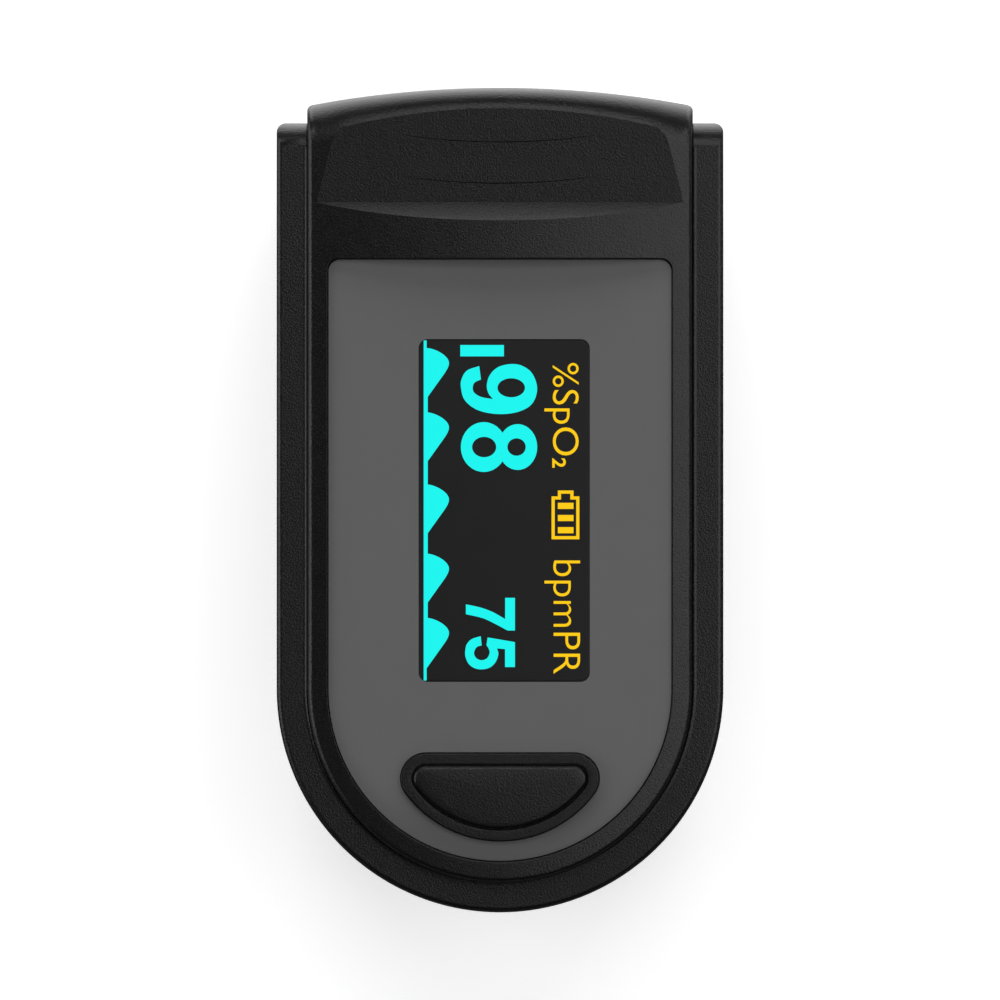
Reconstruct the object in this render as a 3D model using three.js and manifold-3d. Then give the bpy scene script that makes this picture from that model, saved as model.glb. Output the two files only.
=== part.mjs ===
// A fingertip pulse oximeter: a spring clip in two halves on a hinge pin. The upper half carries the display,
// the power button and the light source. The lower half carries the light sensor and two AAA cells.
// Millimetres. The part lies on its battery side, +Z up through the display, and the finger goes in from -Y.
// The origin is under the middle of the part, on the surface that it lies on.
import * as THREE from "three";
import { mergeVertices } from "three/addons/utils/BufferGeometryUtils.js";
import Module from "manifold-3d";

const wasm = await Module();
wasm.setup();

// ---------------------------------------------------------------- driving dimensions
const WIDTH = 32; // across both housings
const LENGTH = 59.1; // from the finger end to the crest of the thumb grip
const HEIGHT = 32; // from the battery side to the crown of the top cover
const HALF = WIDTH / 2;
const FRONT_Y = -LENGTH / 2; // the finger end
const ROUND_Y = FRONT_Y + HALF; // centre of the half-round finger end
const HOUSING_END_Y = FRONT_Y + 56.6; // the flat end of both housings
const SEAM_Z = 18.5; // where the two halves meet
const SEAM_GAP = 0.2; // from the seam to each half
const LOWER_TOP = SEAM_Z - SEAM_GAP;
const UPPER_BOTTOM = SEAM_Z + SEAM_GAP;
const HINGE_Y = 11.5;
const WALL = 1.5;
const FIT = 0.15; // gap between pieces that are assembled together

// Top cover, panel and button
const COVER_HALF = 13.8;
const COVER_WALL = 1.4;
const COVER_ARCH_R = 76.7; // the squeeze end, seen from above
const CROWN_R = 85; // the cover's top, across its width
const RIM_Z = 30.4; // the upper housing's rim around the cover
const COVER_PLATE_Z = 28.8; // underside of the cover's plate
const PANEL = { half: 12.29, endY: 17.22, corner: 0.85, top: 30.75, thick: 0.9 };
const WINDOW = { x: 0.3, y: -0.75, w: 12.25, l: 24.53, corner: 0.5 };
const BUTTON = { topY: -18.13, arcY: -15.98, arcR: 8.38, corner: 1.79, collarTop: 31.4, capTop: 31.65 };
const DISPLAY_OPENING = [-7.2, 7.8, -15.2, 13.7]; // in the cover's plate: from and to in X, then in Y
const GRIP = { startY: 19.94, footY: 21.2, deep: 1.02, endY: 32, rise: 0.41 }; // the thumb grip in the cover
const COVER_SKIRT_Z = 26.9; // the cover's sides end here, and its squeeze end reaches down to the wedge
const RIM_END_R = 1.7; // rounding of the rim where it ends at the squeeze end

// Finger channel and pads
const CHANNEL = { half: 7.9, high: 4.0, tipY: 2.6 };
const PAD = { half: 9.7, bottom: 13.4, top: 23.6, endY: 3.6, corner: 4.2, opening: 6 };
const OPTICS_Y = -6; // the light source and the sensor face each other here

// Battery bay
const CELL = { r: 5.25, length: 44.5, nubR: 1.9, nub: 0.9, x: 5.45, y: 0.95, z: 7.05 };
const DOOR = { half: 11.6, startY: -21.6, thick: 1.3, lift: 0.2, tongue: 0.8, lipTop: 3.1, lipThick: 1.4 };
const BAY_ROOF = 12.5; // underside of the lower inner cover

// Hinge
const PIN_R = 1;
const LUG_R = 2.4;
const LOWER_LUG = [9.6, 11.2]; // from and to, out from the middle
const UPPER_LUG = [7.8, 9.4];
const COIL = { wire: 0.85, meanR: 2.45, turns: 3, pitch: 1.15, from: 2.7, legEndY: 19.7 };

const BOARD = { half: 10.3, endY: 18.4, bottom: 26.7, thick: 1.0 };
const BOARD_TOP = BOARD.bottom + BOARD.thick;
const BOARD_SCREWS = [
  [-8.2, 15.4],
  [8.2, 15.4],
];
const SCREW_X = 12.35;
const SIDE_POCKET = { lower: [10.8, 13.1], upper: [10.9, 13.4], y: [-5, 6] }; // hollows beside the pads
const HINGE_POCKET = { half: 11.5, front: 3.6, back: 3.8 }; // room for the lugs and springs, about the pin
const SAG = 0.035; // how far a chord may stand off its arc
const FAR = 40; // past every face of the part, where a cutter may start or end

// ---------------------------------------------------------------- solids
function toSolid(geometry) {
  const plain = geometry.clone();
  plain.deleteAttribute("normal");
  plain.deleteAttribute("uv");
  const merged = mergeVertices(plain, 1e-4);
  const index = merged.index.array;
  const triVerts = new Uint32Array(index);
  const vertProperties = new Float32Array(merged.attributes.position.array);
  const made = new wasm.Manifold(new wasm.Mesh({ numProp: 3, vertProperties, triVerts }));
  if (made.volume() > 0) return made;
  for (let i = 0; i < triVerts.length; i += 3) {
    [triVerts[i + 1], triVerts[i + 2]] = [triVerts[i + 2], triVerts[i + 1]];
  }
  return new wasm.Manifold(new wasm.Mesh({ numProp: 3, vertProperties, triVerts }));
}

function toGeometry(solid) {
  const mesh = solid.getMesh();
  const places = new Float32Array(mesh.numVert * 3);
  for (let i = 0; i < mesh.numVert; i++) {
    places.set(mesh.vertProperties.subarray(i * mesh.numProp, i * mesh.numProp + 3), i * 3);
  }
  const geometry = new THREE.BufferGeometry();
  geometry.setAttribute("position", new THREE.BufferAttribute(places, 3));
  geometry.setIndex(new THREE.BufferAttribute(new Uint32Array(mesh.triVerts), 1));
  geometry.computeVertexNormals();
  return geometry;
}

const cut = (base, ...tools) => tools.reduce((solid, tool) => solid.subtract(tool), base);
const join = (first, ...others) => others.reduce((solid, other) => solid.add(other), first);

// An outline in X and Y, pulled up from z0 to z1.
function prism(points, z0, z1) {
  const options = { depth: z1 - z0, bevelEnabled: false };
  return toSolid(new THREE.ExtrudeGeometry(new THREE.Shape(points), options).translate(0, 0, z0));
}

// An outline in Y and Z, pulled along X from x0 to x1.
function alongX(points, x0, x1) {
  const options = { depth: x1 - x0, bevelEnabled: false };
  const turn = new THREE.Matrix4().set(0, 0, 1, x0, 1, 0, 0, 0, 0, 1, 0, 0, 0, 0, 0, 1);
  return toSolid(new THREE.ExtrudeGeometry(new THREE.Shape(points), options).applyMatrix4(turn));
}

// An outline in X and Z, pulled along Y from y0 to y1.
function alongY(points, y0, y1) {
  const options = { depth: y1 - y0, bevelEnabled: false };
  const turn = new THREE.Matrix4().set(1, 0, 0, 0, 0, 0, -1, y1, 0, 1, 0, 0, 0, 0, 0, 1);
  return toSolid(new THREE.ExtrudeGeometry(new THREE.Shape(points), options).applyMatrix4(turn));
}

function block(x0, x1, y0, y1, z0, z1) {
  const box = new THREE.BoxGeometry(x1 - x0, y1 - y0, z1 - z0);
  return toSolid(box.translate((x0 + x1) / 2, (y0 + y1) / 2, (z0 + z1) / 2));
}

function upright(r, x, y, z0, z1, sides = 12) {
  const cylinder = new THREE.CylinderGeometry(r, r, z1 - z0, sides).rotateX(Math.PI / 2);
  return toSolid(cylinder.translate(x, y, (z0 + z1) / 2));
}

function crosswise(r, x0, x1, y, z, sides = 16) {
  const cylinder = new THREE.CylinderGeometry(r, r, x1 - x0, sides).rotateZ(Math.PI / 2);
  return toSolid(cylinder.translate((x0 + x1) / 2, y, z));
}

// A closed solid through convex rings of points, all of the same length, with a flat cap at both ends.
function loft(rings) {
  const n = rings[0].length;
  const corners = rings.flat();
  const faces = [];
  rings.slice(1).forEach((_, k) => {
    for (let i = 0; i < n; i++) {
      const [a, b] = [k * n + i, k * n + ((i + 1) % n)];
      faces.push(a, b, b + n, a, b + n, a + n);
    }
  });
  [0, rings.length - 1].forEach((k) => {
    const middle = rings[k].reduce((sum, p) => sum.add(p), new THREE.Vector3()).divideScalar(n);
    corners.push(middle);
    for (let i = 0; i < n; i++) {
      const [a, b] = [k * n + i, k * n + ((i + 1) % n)];
      faces.push(corners.length - 1, ...(k === 0 ? [b, a] : [a, b]));
    }
  });
  const geometry = new THREE.BufferGeometry().setFromPoints(corners);
  return toSolid(geometry.setIndex(faces));
}

// ---------------------------------------------------------------- outlines
const points = (...pairs) => pairs.map(([u, v]) => new THREE.Vector2(u, v));

// Points along an arc, close enough together for SAG. Arcs with the same ruler get the same number of points.
function arc(u, v, r, from, to, ruler = r) {
  const steps = Math.ceil(Math.abs(to - from) / (2 * Math.acos(1 - SAG / ruler)) - 0.01);
  return Array.from({ length: steps + 1 }, (_, i) => {
    const a = from + ((to - from) * i) / steps;
    return new THREE.Vector2(u + r * Math.cos(a), v + r * Math.sin(a));
  });
}

// Straight sides, a half-round end towards -Y and a flat end with rounded corners at endY.
function horseshoe(half, endY, corner, inset = 0) {
  const [w, y, r] = [half - inset, endY - inset, corner - inset];
  return [
    ...arc(w - r, y - r, r, 0, Math.PI / 2, corner),
    ...arc(r - w, y - r, r, Math.PI / 2, Math.PI, corner),
    ...arc(0, ROUND_Y, w, Math.PI, 2 * Math.PI, half),
  ];
}

// The top cover's outline: the half-round finger end, straight sides and a shallow arch at the squeeze end.
function coverOutline(inset) {
  const half = COVER_HALF - inset;
  const archY = -FRONT_Y - COVER_ARCH_R;
  const spread = Math.asin(half / (COVER_ARCH_R - inset));
  return [
    ...arc(0, archY, COVER_ARCH_R - inset, Math.PI / 2 - spread, Math.PI / 2 + spread),
    ...arc(0, ROUND_Y, half, Math.PI, 2 * Math.PI),
  ];
}

// The button's D: a flat edge towards the display and a round belly, with rounded corners.
function buttonOutline(inset) {
  const r = BUTTON.corner - inset;
  const big = BUTTON.arcR - inset;
  const y = BUTTON.topY - BUTTON.corner;
  const x = Math.sqrt((big - r) ** 2 - (y - BUTTON.arcY) ** 2);
  const lean = Math.atan2(BUTTON.arcY - y, x);
  return [
    ...arc(-x, y, r, Math.PI / 2, Math.PI + lean),
    ...arc(0, BUTTON.arcY, big, Math.PI + lean, 2 * Math.PI - lean).slice(1),
    ...arc(x, y, r, -lean, Math.PI / 2).slice(1),
  ];
}

function roundedBox(x, y, w, l, r) {
  const corners = [
    [1, 1],
    [-1, 1],
    [-1, -1],
    [1, -1],
  ];
  return corners.flatMap(([side, end], i) => {
    const from = (i * Math.PI) / 2;
    return arc(x + side * (w / 2 - r), y + end * (l / 2 - r), r, from, from + Math.PI / 2);
  });
}

// The pads' outer section in X and Z, from the seam to their flat back at backZ. grow leaves room around it.
function padSection(backZ, grow) {
  const up = backZ < SEAM_Z ? -1 : 1;
  const open = SEAM_Z + up * (grow > 0 ? -1 : SEAM_GAP); // a cutter runs past the seam
  const [half, back, r] = [PAD.half + grow, backZ + up * grow, PAD.corner];
  return [
    new THREE.Vector2(half, open),
    ...arc(half - r, back - up * r, r, 0, (up * Math.PI) / 2),
    ...arc(r - half, back - up * r, r, (up * Math.PI) / 2, up * Math.PI),
    new THREE.Vector2(-half, open),
  ];
}

// What the finger passes through: a rounded channel that narrows to a domed stop.
function fingerChannel() {
  const stations = [
    [FRONT_Y - 1, 1.12, 1.13],
    [FRONT_Y + 1.5, 1.06, 1.06],
    [FRONT_Y + 5, 1.0, 1.0],
    [OPTICS_Y, 0.96, 0.96],
    [CHANNEL.tipY - 4, 0.88, 0.92],
    [CHANNEL.tipY - 1.5, 0.68, 0.76],
    [CHANNEL.tipY - 0.3, 0.4, 0.46],
    [CHANNEL.tipY, 0.2, 0.2],
  ];
  const around = 28;
  const squareness = 0.8; // 1 is an ellipse, and less is squarer
  return loft(
    stations.map(([y, wide, high]) =>
      Array.from({ length: around }, (_, i) => {
        const a = (2 * Math.PI * i) / around;
        const [c, s] = [Math.cos(a), Math.sin(a)];
        const x = Math.sign(c) * Math.abs(c) ** squareness * CHANNEL.half * wide;
        const z = Math.sign(s) * Math.abs(s) ** squareness * CHANNEL.high * high;
        return new THREE.Vector3(x, y, SEAM_Z + z);
      }),
    ),
  );
}

// The wedge that lets the squeeze ends come together, above the lower half and below the upper half.
const WEDGE = { startY: HINGE_Y + 0.6, endY: 30, lowerZ: 13.75, upperZ: 21.3 };

function lowerWedge() {
  const { startY, endY, lowerZ } = WEDGE;
  return alongX(points([startY, LOWER_TOP], [endY, lowerZ], [endY, FAR], [startY, FAR]), -FAR, FAR);
}

function upperWedge() {
  const { startY, endY, upperZ } = WEDGE;
  return alongX(points([startY, UPPER_BOTTOM], [startY, 0], [endY, 0], [endY, upperZ]), -FAR, FAR);
}

const bothSides = (make) => [make(1), make(-1)];
const span = (side, [from, to]) => (side > 0 ? [from, to] : [-to, -from]);
const sidePockets = (range, z0, z1) =>
  bothSides((side) => block(...span(side, range), ...SIDE_POCKET.y, z0, z1));

function hingePocket(z0, z1) {
  const { half, front, back } = HINGE_POCKET;
  return block(-half, half, HINGE_Y - front, HINGE_Y + back, z0, z1);
}

// A lug around the hinge pin, from a foot at footZ.
function hingeLug(side, range, footZ) {
  const [x0, x1] = span(side, range);
  const foot = [Math.min(footZ, SEAM_Z), Math.max(footZ, SEAM_Z)];
  return cut(
    join(crosswise(LUG_R, x0, x1, HINGE_Y, SEAM_Z), block(x0, x1, HINGE_Y - LUG_R, HINGE_Y + LUG_R, ...foot)),
    crosswise(PIN_R + 0.12, x0 - 1, x1 + 1, HINGE_Y, SEAM_Z),
  );
}

// ---------------------------------------------------------------- lower half
const BOSS_TOP = BAY_ROOF - FIT;
const SCREW_PLACES = [
  [SCREW_X, -8],
  [-SCREW_X, -8],
  [SCREW_X, 21.5],
  [-SCREW_X, 21.5],
];
const BOTTOM = { edgeR: 3, corner: 3.4, bend: 4 }; // the rounded bottom of the lower half

function lowerBody() {
  const rings = Array.from({ length: BOTTOM.bend + 1 }, (_, i) => {
    const a = (Math.PI / 2) * (i / BOTTOM.bend);
    return [BOTTOM.edgeR * (1 - Math.sin(a)), BOTTOM.edgeR * (1 - Math.cos(a))];
  });
  rings.push([0, LOWER_TOP]);
  return loft(
    rings.map(([inset, z]) =>
      horseshoe(HALF, HOUSING_END_Y, BOTTOM.corner, inset).map((p) => new THREE.Vector3(p.x, p.y, z)),
    ),
  );
}

function lowerHousing() {
  const floor = DOOR.lift + DOOR.thick + 0.3;
  const cavity = prism(horseshoe(HALF - WALL, HOUSING_END_Y - WALL, BOTTOM.corner - WALL), floor, FAR);
  const bosses = SCREW_PLACES.map(([x, y]) => upright(1.4, x, y, floor - 0.2, BOSS_TOP));
  const pilots = SCREW_PLACES.map(([x, y]) => upright(0.9, x, y, 6.2, BOSS_TOP + 1, 8));
  const doorHalf = DOOR.half + FIT;
  const grooveHalf = doorHalf + DOOR.tongue;
  const lipStart = HOUSING_END_Y - DOOR.lipThick - FIT;
  const mouth = alongY(padSection(PAD.bottom, FIT), FRONT_Y - 2, ROUND_Y);
  // A wrist cord goes in through the side wall and out through the end wall.
  const eyelets = [block(13, 17, 23.6, 25.2, 6, 8.4), block(11.6, 13.2, 25, 28, 6, 8.4)];
  return cut(
    join(cut(lowerBody(), cavity), ...bosses),
    ...pilots,
    block(-doorHalf, doorHalf, DOOR.startY - FIT, FAR, -1, floor + 0.05),
    block(-doorHalf, doorHalf, lipStart, FAR, -1, DOOR.lipTop + FIT),
    block(-grooveHalf, grooveHalf, -14, FAR, 0.65, 1.5),
    mouth,
    lowerWedge(),
    ...eyelets,
  );
}

function lowerInnerCover() {
  const inset = WALL + FIT;
  const body = prism(horseshoe(HALF - inset, HOUSING_END_Y - inset, 2), BAY_ROOF, LOWER_TOP - 0.05);
  const trough = alongY(padSection(PAD.bottom, FIT), FRONT_Y - 2, PAD.endY + FIT);
  const rearPocket = block(-10.5, 10.5, 17, 24, BAY_ROOF - 1, 13.5);
  const throughHoles = SCREW_PLACES.map(([x, y]) => upright(1.0, x, y, 10, 20, 8));
  const headSeats = SCREW_PLACES.map(([x, y]) => upright(1.75, x, y, y > 0 ? 14.2 : 16.8, 20));
  const boardSeat = block(-4.3, 4.3, OPTICS_Y - 4.3, OPTICS_Y + 4.3, BAY_ROOF - 1, 14);
  const cableWay = block(-2.4, 2.4, OPTICS_Y + 4, HINGE_Y + HINGE_POCKET.back, 12.75, 14.5);
  const legWays = bothSides((side) => block(...span(side, [2.4, 3.85]), HINGE_Y + 3, 20.2, 15.3, 20));
  const shell = cut(
    body,
    trough,
    ...sidePockets(SIDE_POCKET.lower, BAY_ROOF - 1, 17),
    rearPocket,
    hingePocket(14.3, 20),
    ...throughHoles,
    ...headSeats,
    boardSeat,
    cableWay,
    ...legWays,
    lowerWedge(),
  );
  return join(shell, ...bothSides((side) => hingeLug(side, LOWER_LUG, 14)));
}

// Half of the pad that holds the finger, with a square opening for the light.
function fingerPad(backZ) {
  const body = alongY(padSection(backZ, 0), FRONT_Y - 2, PAD.endY);
  const front = prism(horseshoe(HALF - 0.25, FAR, 1), 0, FAR);
  const half = PAD.opening / 2;
  const [low, high] = backZ < SEAM_Z ? [0, SEAM_Z] : [SEAM_Z, FAR];
  const opening = block(-half, half, OPTICS_Y - half, OPTICS_Y + half, low, high);
  return cut(body.intersect(front), fingerChannel(), opening);
}

function batteryDoor() {
  const [z0, z1] = [DOOR.lift, DOOR.lift + DOOR.thick];
  const [w, end, reach] = [DOOR.half, HOUSING_END_Y + 1, DOOR.half + DOOR.tongue];
  const plate = block(-w, w, DOOR.startY, end, z0, z1);
  const lip = block(-w, w, HOUSING_END_Y - DOOR.lipThick, end, z0, DOOR.lipTop);
  const tongues = block(-reach, reach, -13.5, HOUSING_END_Y - 2.5, 0.8, 1.35);
  const grooves = Array.from({ length: 5 }, (_, i) => {
    const y = 16 + 1.4 * i;
    return block(-5, 5, y, y + 0.7, 0, z0 + 0.35);
  });
  return cut(join(plate, lip, tongues).intersect(lowerBody()), ...grooves);
}

function cell() {
  const half = CELL.length / 2;
  const can = half - CELL.nub;
  const [r, edge] = [CELL.r, CELL.r - 0.4];
  const profile = points([0, -half], [edge, -half], [r, 0.4 - half], [r, can - 0.4], [edge, can]);
  profile.push(...points([CELL.nubR, can], [CELL.nubR, half], [0, half]));
  return toSolid(new THREE.LatheGeometry(profile, 20));
}

// A wire bent along a path, with a round section.
function wire(path, diameter, steps, sides = 6) {
  const section = Array.from({ length: sides }, (_, i) => {
    const a = (2 * Math.PI * i) / sides;
    return new THREE.Vector2((diameter / 2) * Math.cos(a), (diameter / 2) * Math.sin(a));
  });
  const options = { steps, bevelEnabled: false, extrudePath: path };
  return toSolid(new THREE.ExtrudeGeometry(new THREE.Shape(section), options));
}

// A flat ribbon, drawn as a line in Y and Z and w wide about x.
function ribbon(line, x, w, thick) {
  const curve = new THREE.CatmullRomCurve3(line.map(([y, z]) => new THREE.Vector3(y, z, 0)));
  const steps = line.length * 2;
  const edge = (side) =>
    Array.from({ length: steps + 1 }, (_, i) => {
      const t = curve.getTangent(i / steps);
      const p = curve.getPoint(i / steps);
      return new THREE.Vector2(p.x - (t.y * side * thick) / 2, p.y + (t.x * side * thick) / 2);
    });
  return alongX([...edge(1), ...edge(-1).reverse()], x - w / 2, x + w / 2);
}

// A contact spring pressed to its working length, from y0 to y1 and wider at y0.
function contactSpring(x, y0, y1) {
  const turns = 3;
  const steps = turns * 11;
  const coil = Array.from({ length: steps + 1 }, (_, i) => {
    const a = (2 * Math.PI * turns * i) / steps;
    const r = 3.2 - (1.4 * i) / steps;
    const y = y0 + ((y1 - y0) * i) / steps;
    return new THREE.Vector3(x + r * Math.cos(a), y, CELL.z + r * Math.sin(a));
  });
  return wire(new THREE.CatmullRomCurve3(coil), 0.45, steps, 4);
}

// A torsion spring on the hinge pin. It starts under the pin and ends over it, and its two legs press the
// squeeze ends of the halves apart.
function torsionSpring(side) {
  const turns = COIL.turns + 0.5;
  const count = Math.round(13 * turns);
  const coil = Array.from({ length: count + 1 }, (_, i) => {
    const a = -Math.PI / 2 - (2 * Math.PI * turns * i) / count;
    const x = side * (COIL.from + COIL.wire / 2 + (COIL.pitch * turns * i) / count);
    return new THREE.Vector3(x, HINGE_Y + COIL.meanR * Math.cos(a), SEAM_Z + COIL.meanR * Math.sin(a));
  });
  const leg = (from, drop) => {
    const tip = new THREE.Vector3(from.x, COIL.legEndY, from.z - drop);
    return [from.clone().lerp(tip, 0.3), tip];
  };
  const line = [...leg(coil[0], 0.1).reverse(), ...coil, ...leg(coil[coil.length - 1], 0.2)];
  return wire(new THREE.CatmullRomCurve3(line, false, "centripetal"), COIL.wire, count + 6, 5);
}

// A self-tapping screw with its head's top at the origin, pointing down.
function screw(headR, headH, shankR, length) {
  const tip = points([0, -length], [shankR * 0.4, -length], [shankR, 2 * shankR - length]);
  const profile = [...tip, ...points([shankR, -headH], [headR, -headH], [headR, 0], [0, 0])];
  const turned = toSolid(new THREE.LatheGeometry(profile, 10).rotateX(Math.PI / 2));
  const [reach, half, deep] = [headR * 0.6, 0.14, headH * 0.6]; // the cross in the head
  const slot = block(-reach, reach, -half, half, -deep, 1);
  return cut(turned, slot, block(-half, half, -reach, reach, -deep, 1));
}

// ---------------------------------------------------------------- upper half
const ROOF = PAD.top + FIT + 0.95; // the upper housing's floor, over the pad

function upperHousing() {
  const inside = COVER_HALF + FIT;
  const endY = HOUSING_END_Y;
  const walls = prism(horseshoe(HALF, endY, 0.7), UPPER_BOTTOM, RIM_Z);
  const well = prism(horseshoe(inside, FAR, 0.5), ROOF, FAR);
  const openEnd = block(-inside, inside, endY - 0.7, FAR, 0, FAR);
  const floorShape = prism(coverOutline(COVER_WALL + FIT), UPPER_BOTTOM, ROOF);
  const floorEnd = floorShape.intersect(block(-FAR, FAR, endY - 3, FAR, 0, FAR));
  const trough = alongY(padSection(PAD.top, FIT), FRONT_Y - 2, PAD.endY + FIT);
  const rearPocket = block(-10.6, 10.6, 17, 24.5, 22.4, 30);
  const legWays = bothSides((side) => block(...span(side, [6.4, 7.9]), HINGE_Y + 3, 20.2, 0, 21.6));
  const throughHoles = SCREW_PLACES.map(([x, y]) => upright(1.0, x, y, 17, 30, 8));
  const headSeats = SCREW_PLACES.map(([x, y]) => upright(1.75, x, y, 0, y > 0 ? 21.4 : 20.4));
  const emitterHole = block(-2.2, 2.2, OPTICS_Y - 2.2, OPTICS_Y + 2.2, 22, 30);
  const cableWay = block(-2.6, 2.6, HINGE_Y + 2.3, HINGE_Y + 3.7, 20, 30);
  const [roundY, roundZ] = [endY - RIM_END_R, RIM_Z - RIM_END_R];
  const endRound = [
    ...arc(roundY, roundZ, RIM_END_R, 0, Math.PI / 2),
    ...points([roundY, FAR], [FAR, FAR], [FAR, roundZ]),
  ];
  const shell = cut(
    join(cut(walls, well, openEnd), floorEnd),
    trough,
    ...sidePockets(SIDE_POCKET.upper, 19.9, 30),
    rearPocket,
    hingePocket(0, 22.5),
    ...legWays,
    ...throughHoles,
    ...headSeats,
    emitterHole,
    cableWay,
    alongX(endRound, -FAR, FAR),
    upperWedge(),
  );
  return join(shell, ...bothSides((side) => hingeLug(side, UPPER_LUG, 23)));
}

// Everything under the crown of the cover, an arc across the width.
function underCrown() {
  const top = Math.PI / 2;
  const spread = Math.asin(20 / CROWN_R);
  const right = arc(0, HEIGHT - CROWN_R, CROWN_R, top - spread, top);
  const left = arc(0, HEIGHT - CROWN_R, CROWN_R, top, top + spread).slice(1);
  return alongY([...right, ...left, ...points([-20, 0], [20, 0])], -FAR, FAR);
}

function topCover() {
  const gripFloor = HEIGHT - GRIP.deep;
  const grip = points(
    [GRIP.startY, HEIGHT + 0.05],
    [GRIP.footY, gripFloor],
    [GRIP.endY, gripFloor + GRIP.rise],
    [GRIP.endY, FAR],
    [GRIP.startY, FAR],
  );
  const panelPocket = cut(
    prism(horseshoe(PANEL.half + 0.08, PANEL.endY + 0.08, PANEL.corner), PANEL.top - PANEL.thick - 0.05, FAR),
    prism(buttonOutline(0), 0, BUTTON.collarTop),
  );
  const displayOpening = block(...DISPLAY_OPENING, 0, FAR);
  const bosses = SCREW_PLACES.map(([x, y]) => upright(1.4, x, y, ROOF + 0.2, COVER_PLATE_Z + 0.8));
  const pilots = SCREW_PLACES.map(([x, y]) => upright(0.8, x, y, 20, COVER_PLATE_Z, 8));
  const posts = BOARD_SCREWS.map(([x, y]) => upright(1.5, x, y, BOARD_TOP + 0.1, COVER_PLATE_Z + 0.5));
  const postHoles = BOARD_SCREWS.map(([x, y]) => upright(0.65, x, y, 20, COVER_PLATE_Z + 0.4, 8));
  const underGrip = prism(coverOutline(COVER_WALL), 0, 29.5).intersect(block(-11, 11, 18.6, FAR, 0, FAR));
  const shell = cut(
    prism(coverOutline(0), 20, FAR).intersect(underCrown()),
    prism(coverOutline(COVER_WALL), 0, COVER_PLATE_Z),
    block(-FAR, FAR, -FAR, HOUSING_END_Y - 0.5, 0, COVER_SKIRT_Z),
    underGrip,
    upperWedge(),
  );
  return cut(
    join(shell, ...bosses, ...posts),
    panelPocket,
    displayOpening,
    alongX(grip, -FAR, FAR),
    prism(buttonOutline(0.75), 0, FAR),
    prism(buttonOutline(0.45), 0, 30.35),
    ...pilots,
    ...postHoles,
  );
}

function frontPanel() {
  const top = PANEL.top;
  return cut(
    prism(horseshoe(PANEL.half, PANEL.endY, PANEL.corner), top - PANEL.thick, top),
    prism(roundedBox(WINDOW.x, WINDOW.y, WINDOW.w, WINDOW.l, WINDOW.corner), 0, FAR),
    prism(buttonOutline(-0.08), 0, FAR),
  );
}

function displayWindow() {
  const gap = 0.16;
  const outline = roundedBox(WINDOW.x, WINDOW.y, WINDOW.w - gap, WINDOW.l - gap, WINDOW.corner);
  return prism(outline, PANEL.top - PANEL.thick, PANEL.top - 0.05);
}

function powerButton() {
  return join(prism(buttonOutline(0.9), 29.75, BUTTON.capTop), prism(buttonOutline(0.55), 29.75, 30.25));
}

// ---------------------------------------------------------------- electronics
const SWITCH_Y = -21.2;

function mainBoard() {
  const holes = BOARD_SCREWS.map(([x, y]) => upright(0.8, x, y, 20, 30, 8));
  return cut(prism(horseshoe(BOARD.half, BOARD.endY, 1), BOARD.bottom, BOARD_TOP), ...holes);
}

function switchBody() {
  const body = block(-2.1, 2.1, SWITCH_Y - 1.8, SWITCH_Y + 1.8, BOARD_TOP + 0.05, 29.1);
  return cut(body, upright(1.05, 0, SWITCH_Y, 28.0, 30));
}

// ---------------------------------------------------------------- colours
const finish = (color, roughness, metalness = 0, extra = {}) =>
  new THREE.MeshStandardMaterial({ color, roughness, metalness, ...extra });
const BLACK_ABS = finish(0x1c1c1c, 0.5);
const GREY_PRINT = finish(0x5c5c5c, 0.55);
const SMOKED = finish(0x1f1f1f, 0.2);
const CLEAR = finish(0x3a2424, 0.15);
const SILICONE = finish(0x2b2b2d, 0.75);
const STEEL = finish(0xb4b6ba, 0.3, 1);
const NICKEL = finish(0xc8c4b8, 0.3, 1);
const BOARD_GREEN = finish(0x1b5a33, 0.5);
const CHIP = finish(0x161616, 0.6);
const GLASS = finish(0x10141a, 0.08);
const CELL_WRAP = finish(0x2d4a7a, 0.35);
const FOAM = finish(0x222222, 0.95);
const POLYIMIDE = finish(0xa8641c, 0.4);
const CERAMIC = finish(0xb9a27c, 0.5);
const LEAD_RED = finish(0xa81c1c, 0.5);
const LEAD_BLACK = finish(0x111111, 0.5);

// ---------------------------------------------------------------- assembly
const oximeter = new THREE.Group();
const lower = new THREE.Group();
const upper = new THREE.Group();
oximeter.add(lower, upper);

function add(group, name, solid, material, position = [0, 0, 0], turn = [0, 0, 0]) {
  const mesh = new THREE.Mesh(toGeometry(solid), material);
  mesh.name = name;
  mesh.position.set(...position);
  mesh.rotation.set(...turn);
  group.add(mesh);
}

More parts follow.
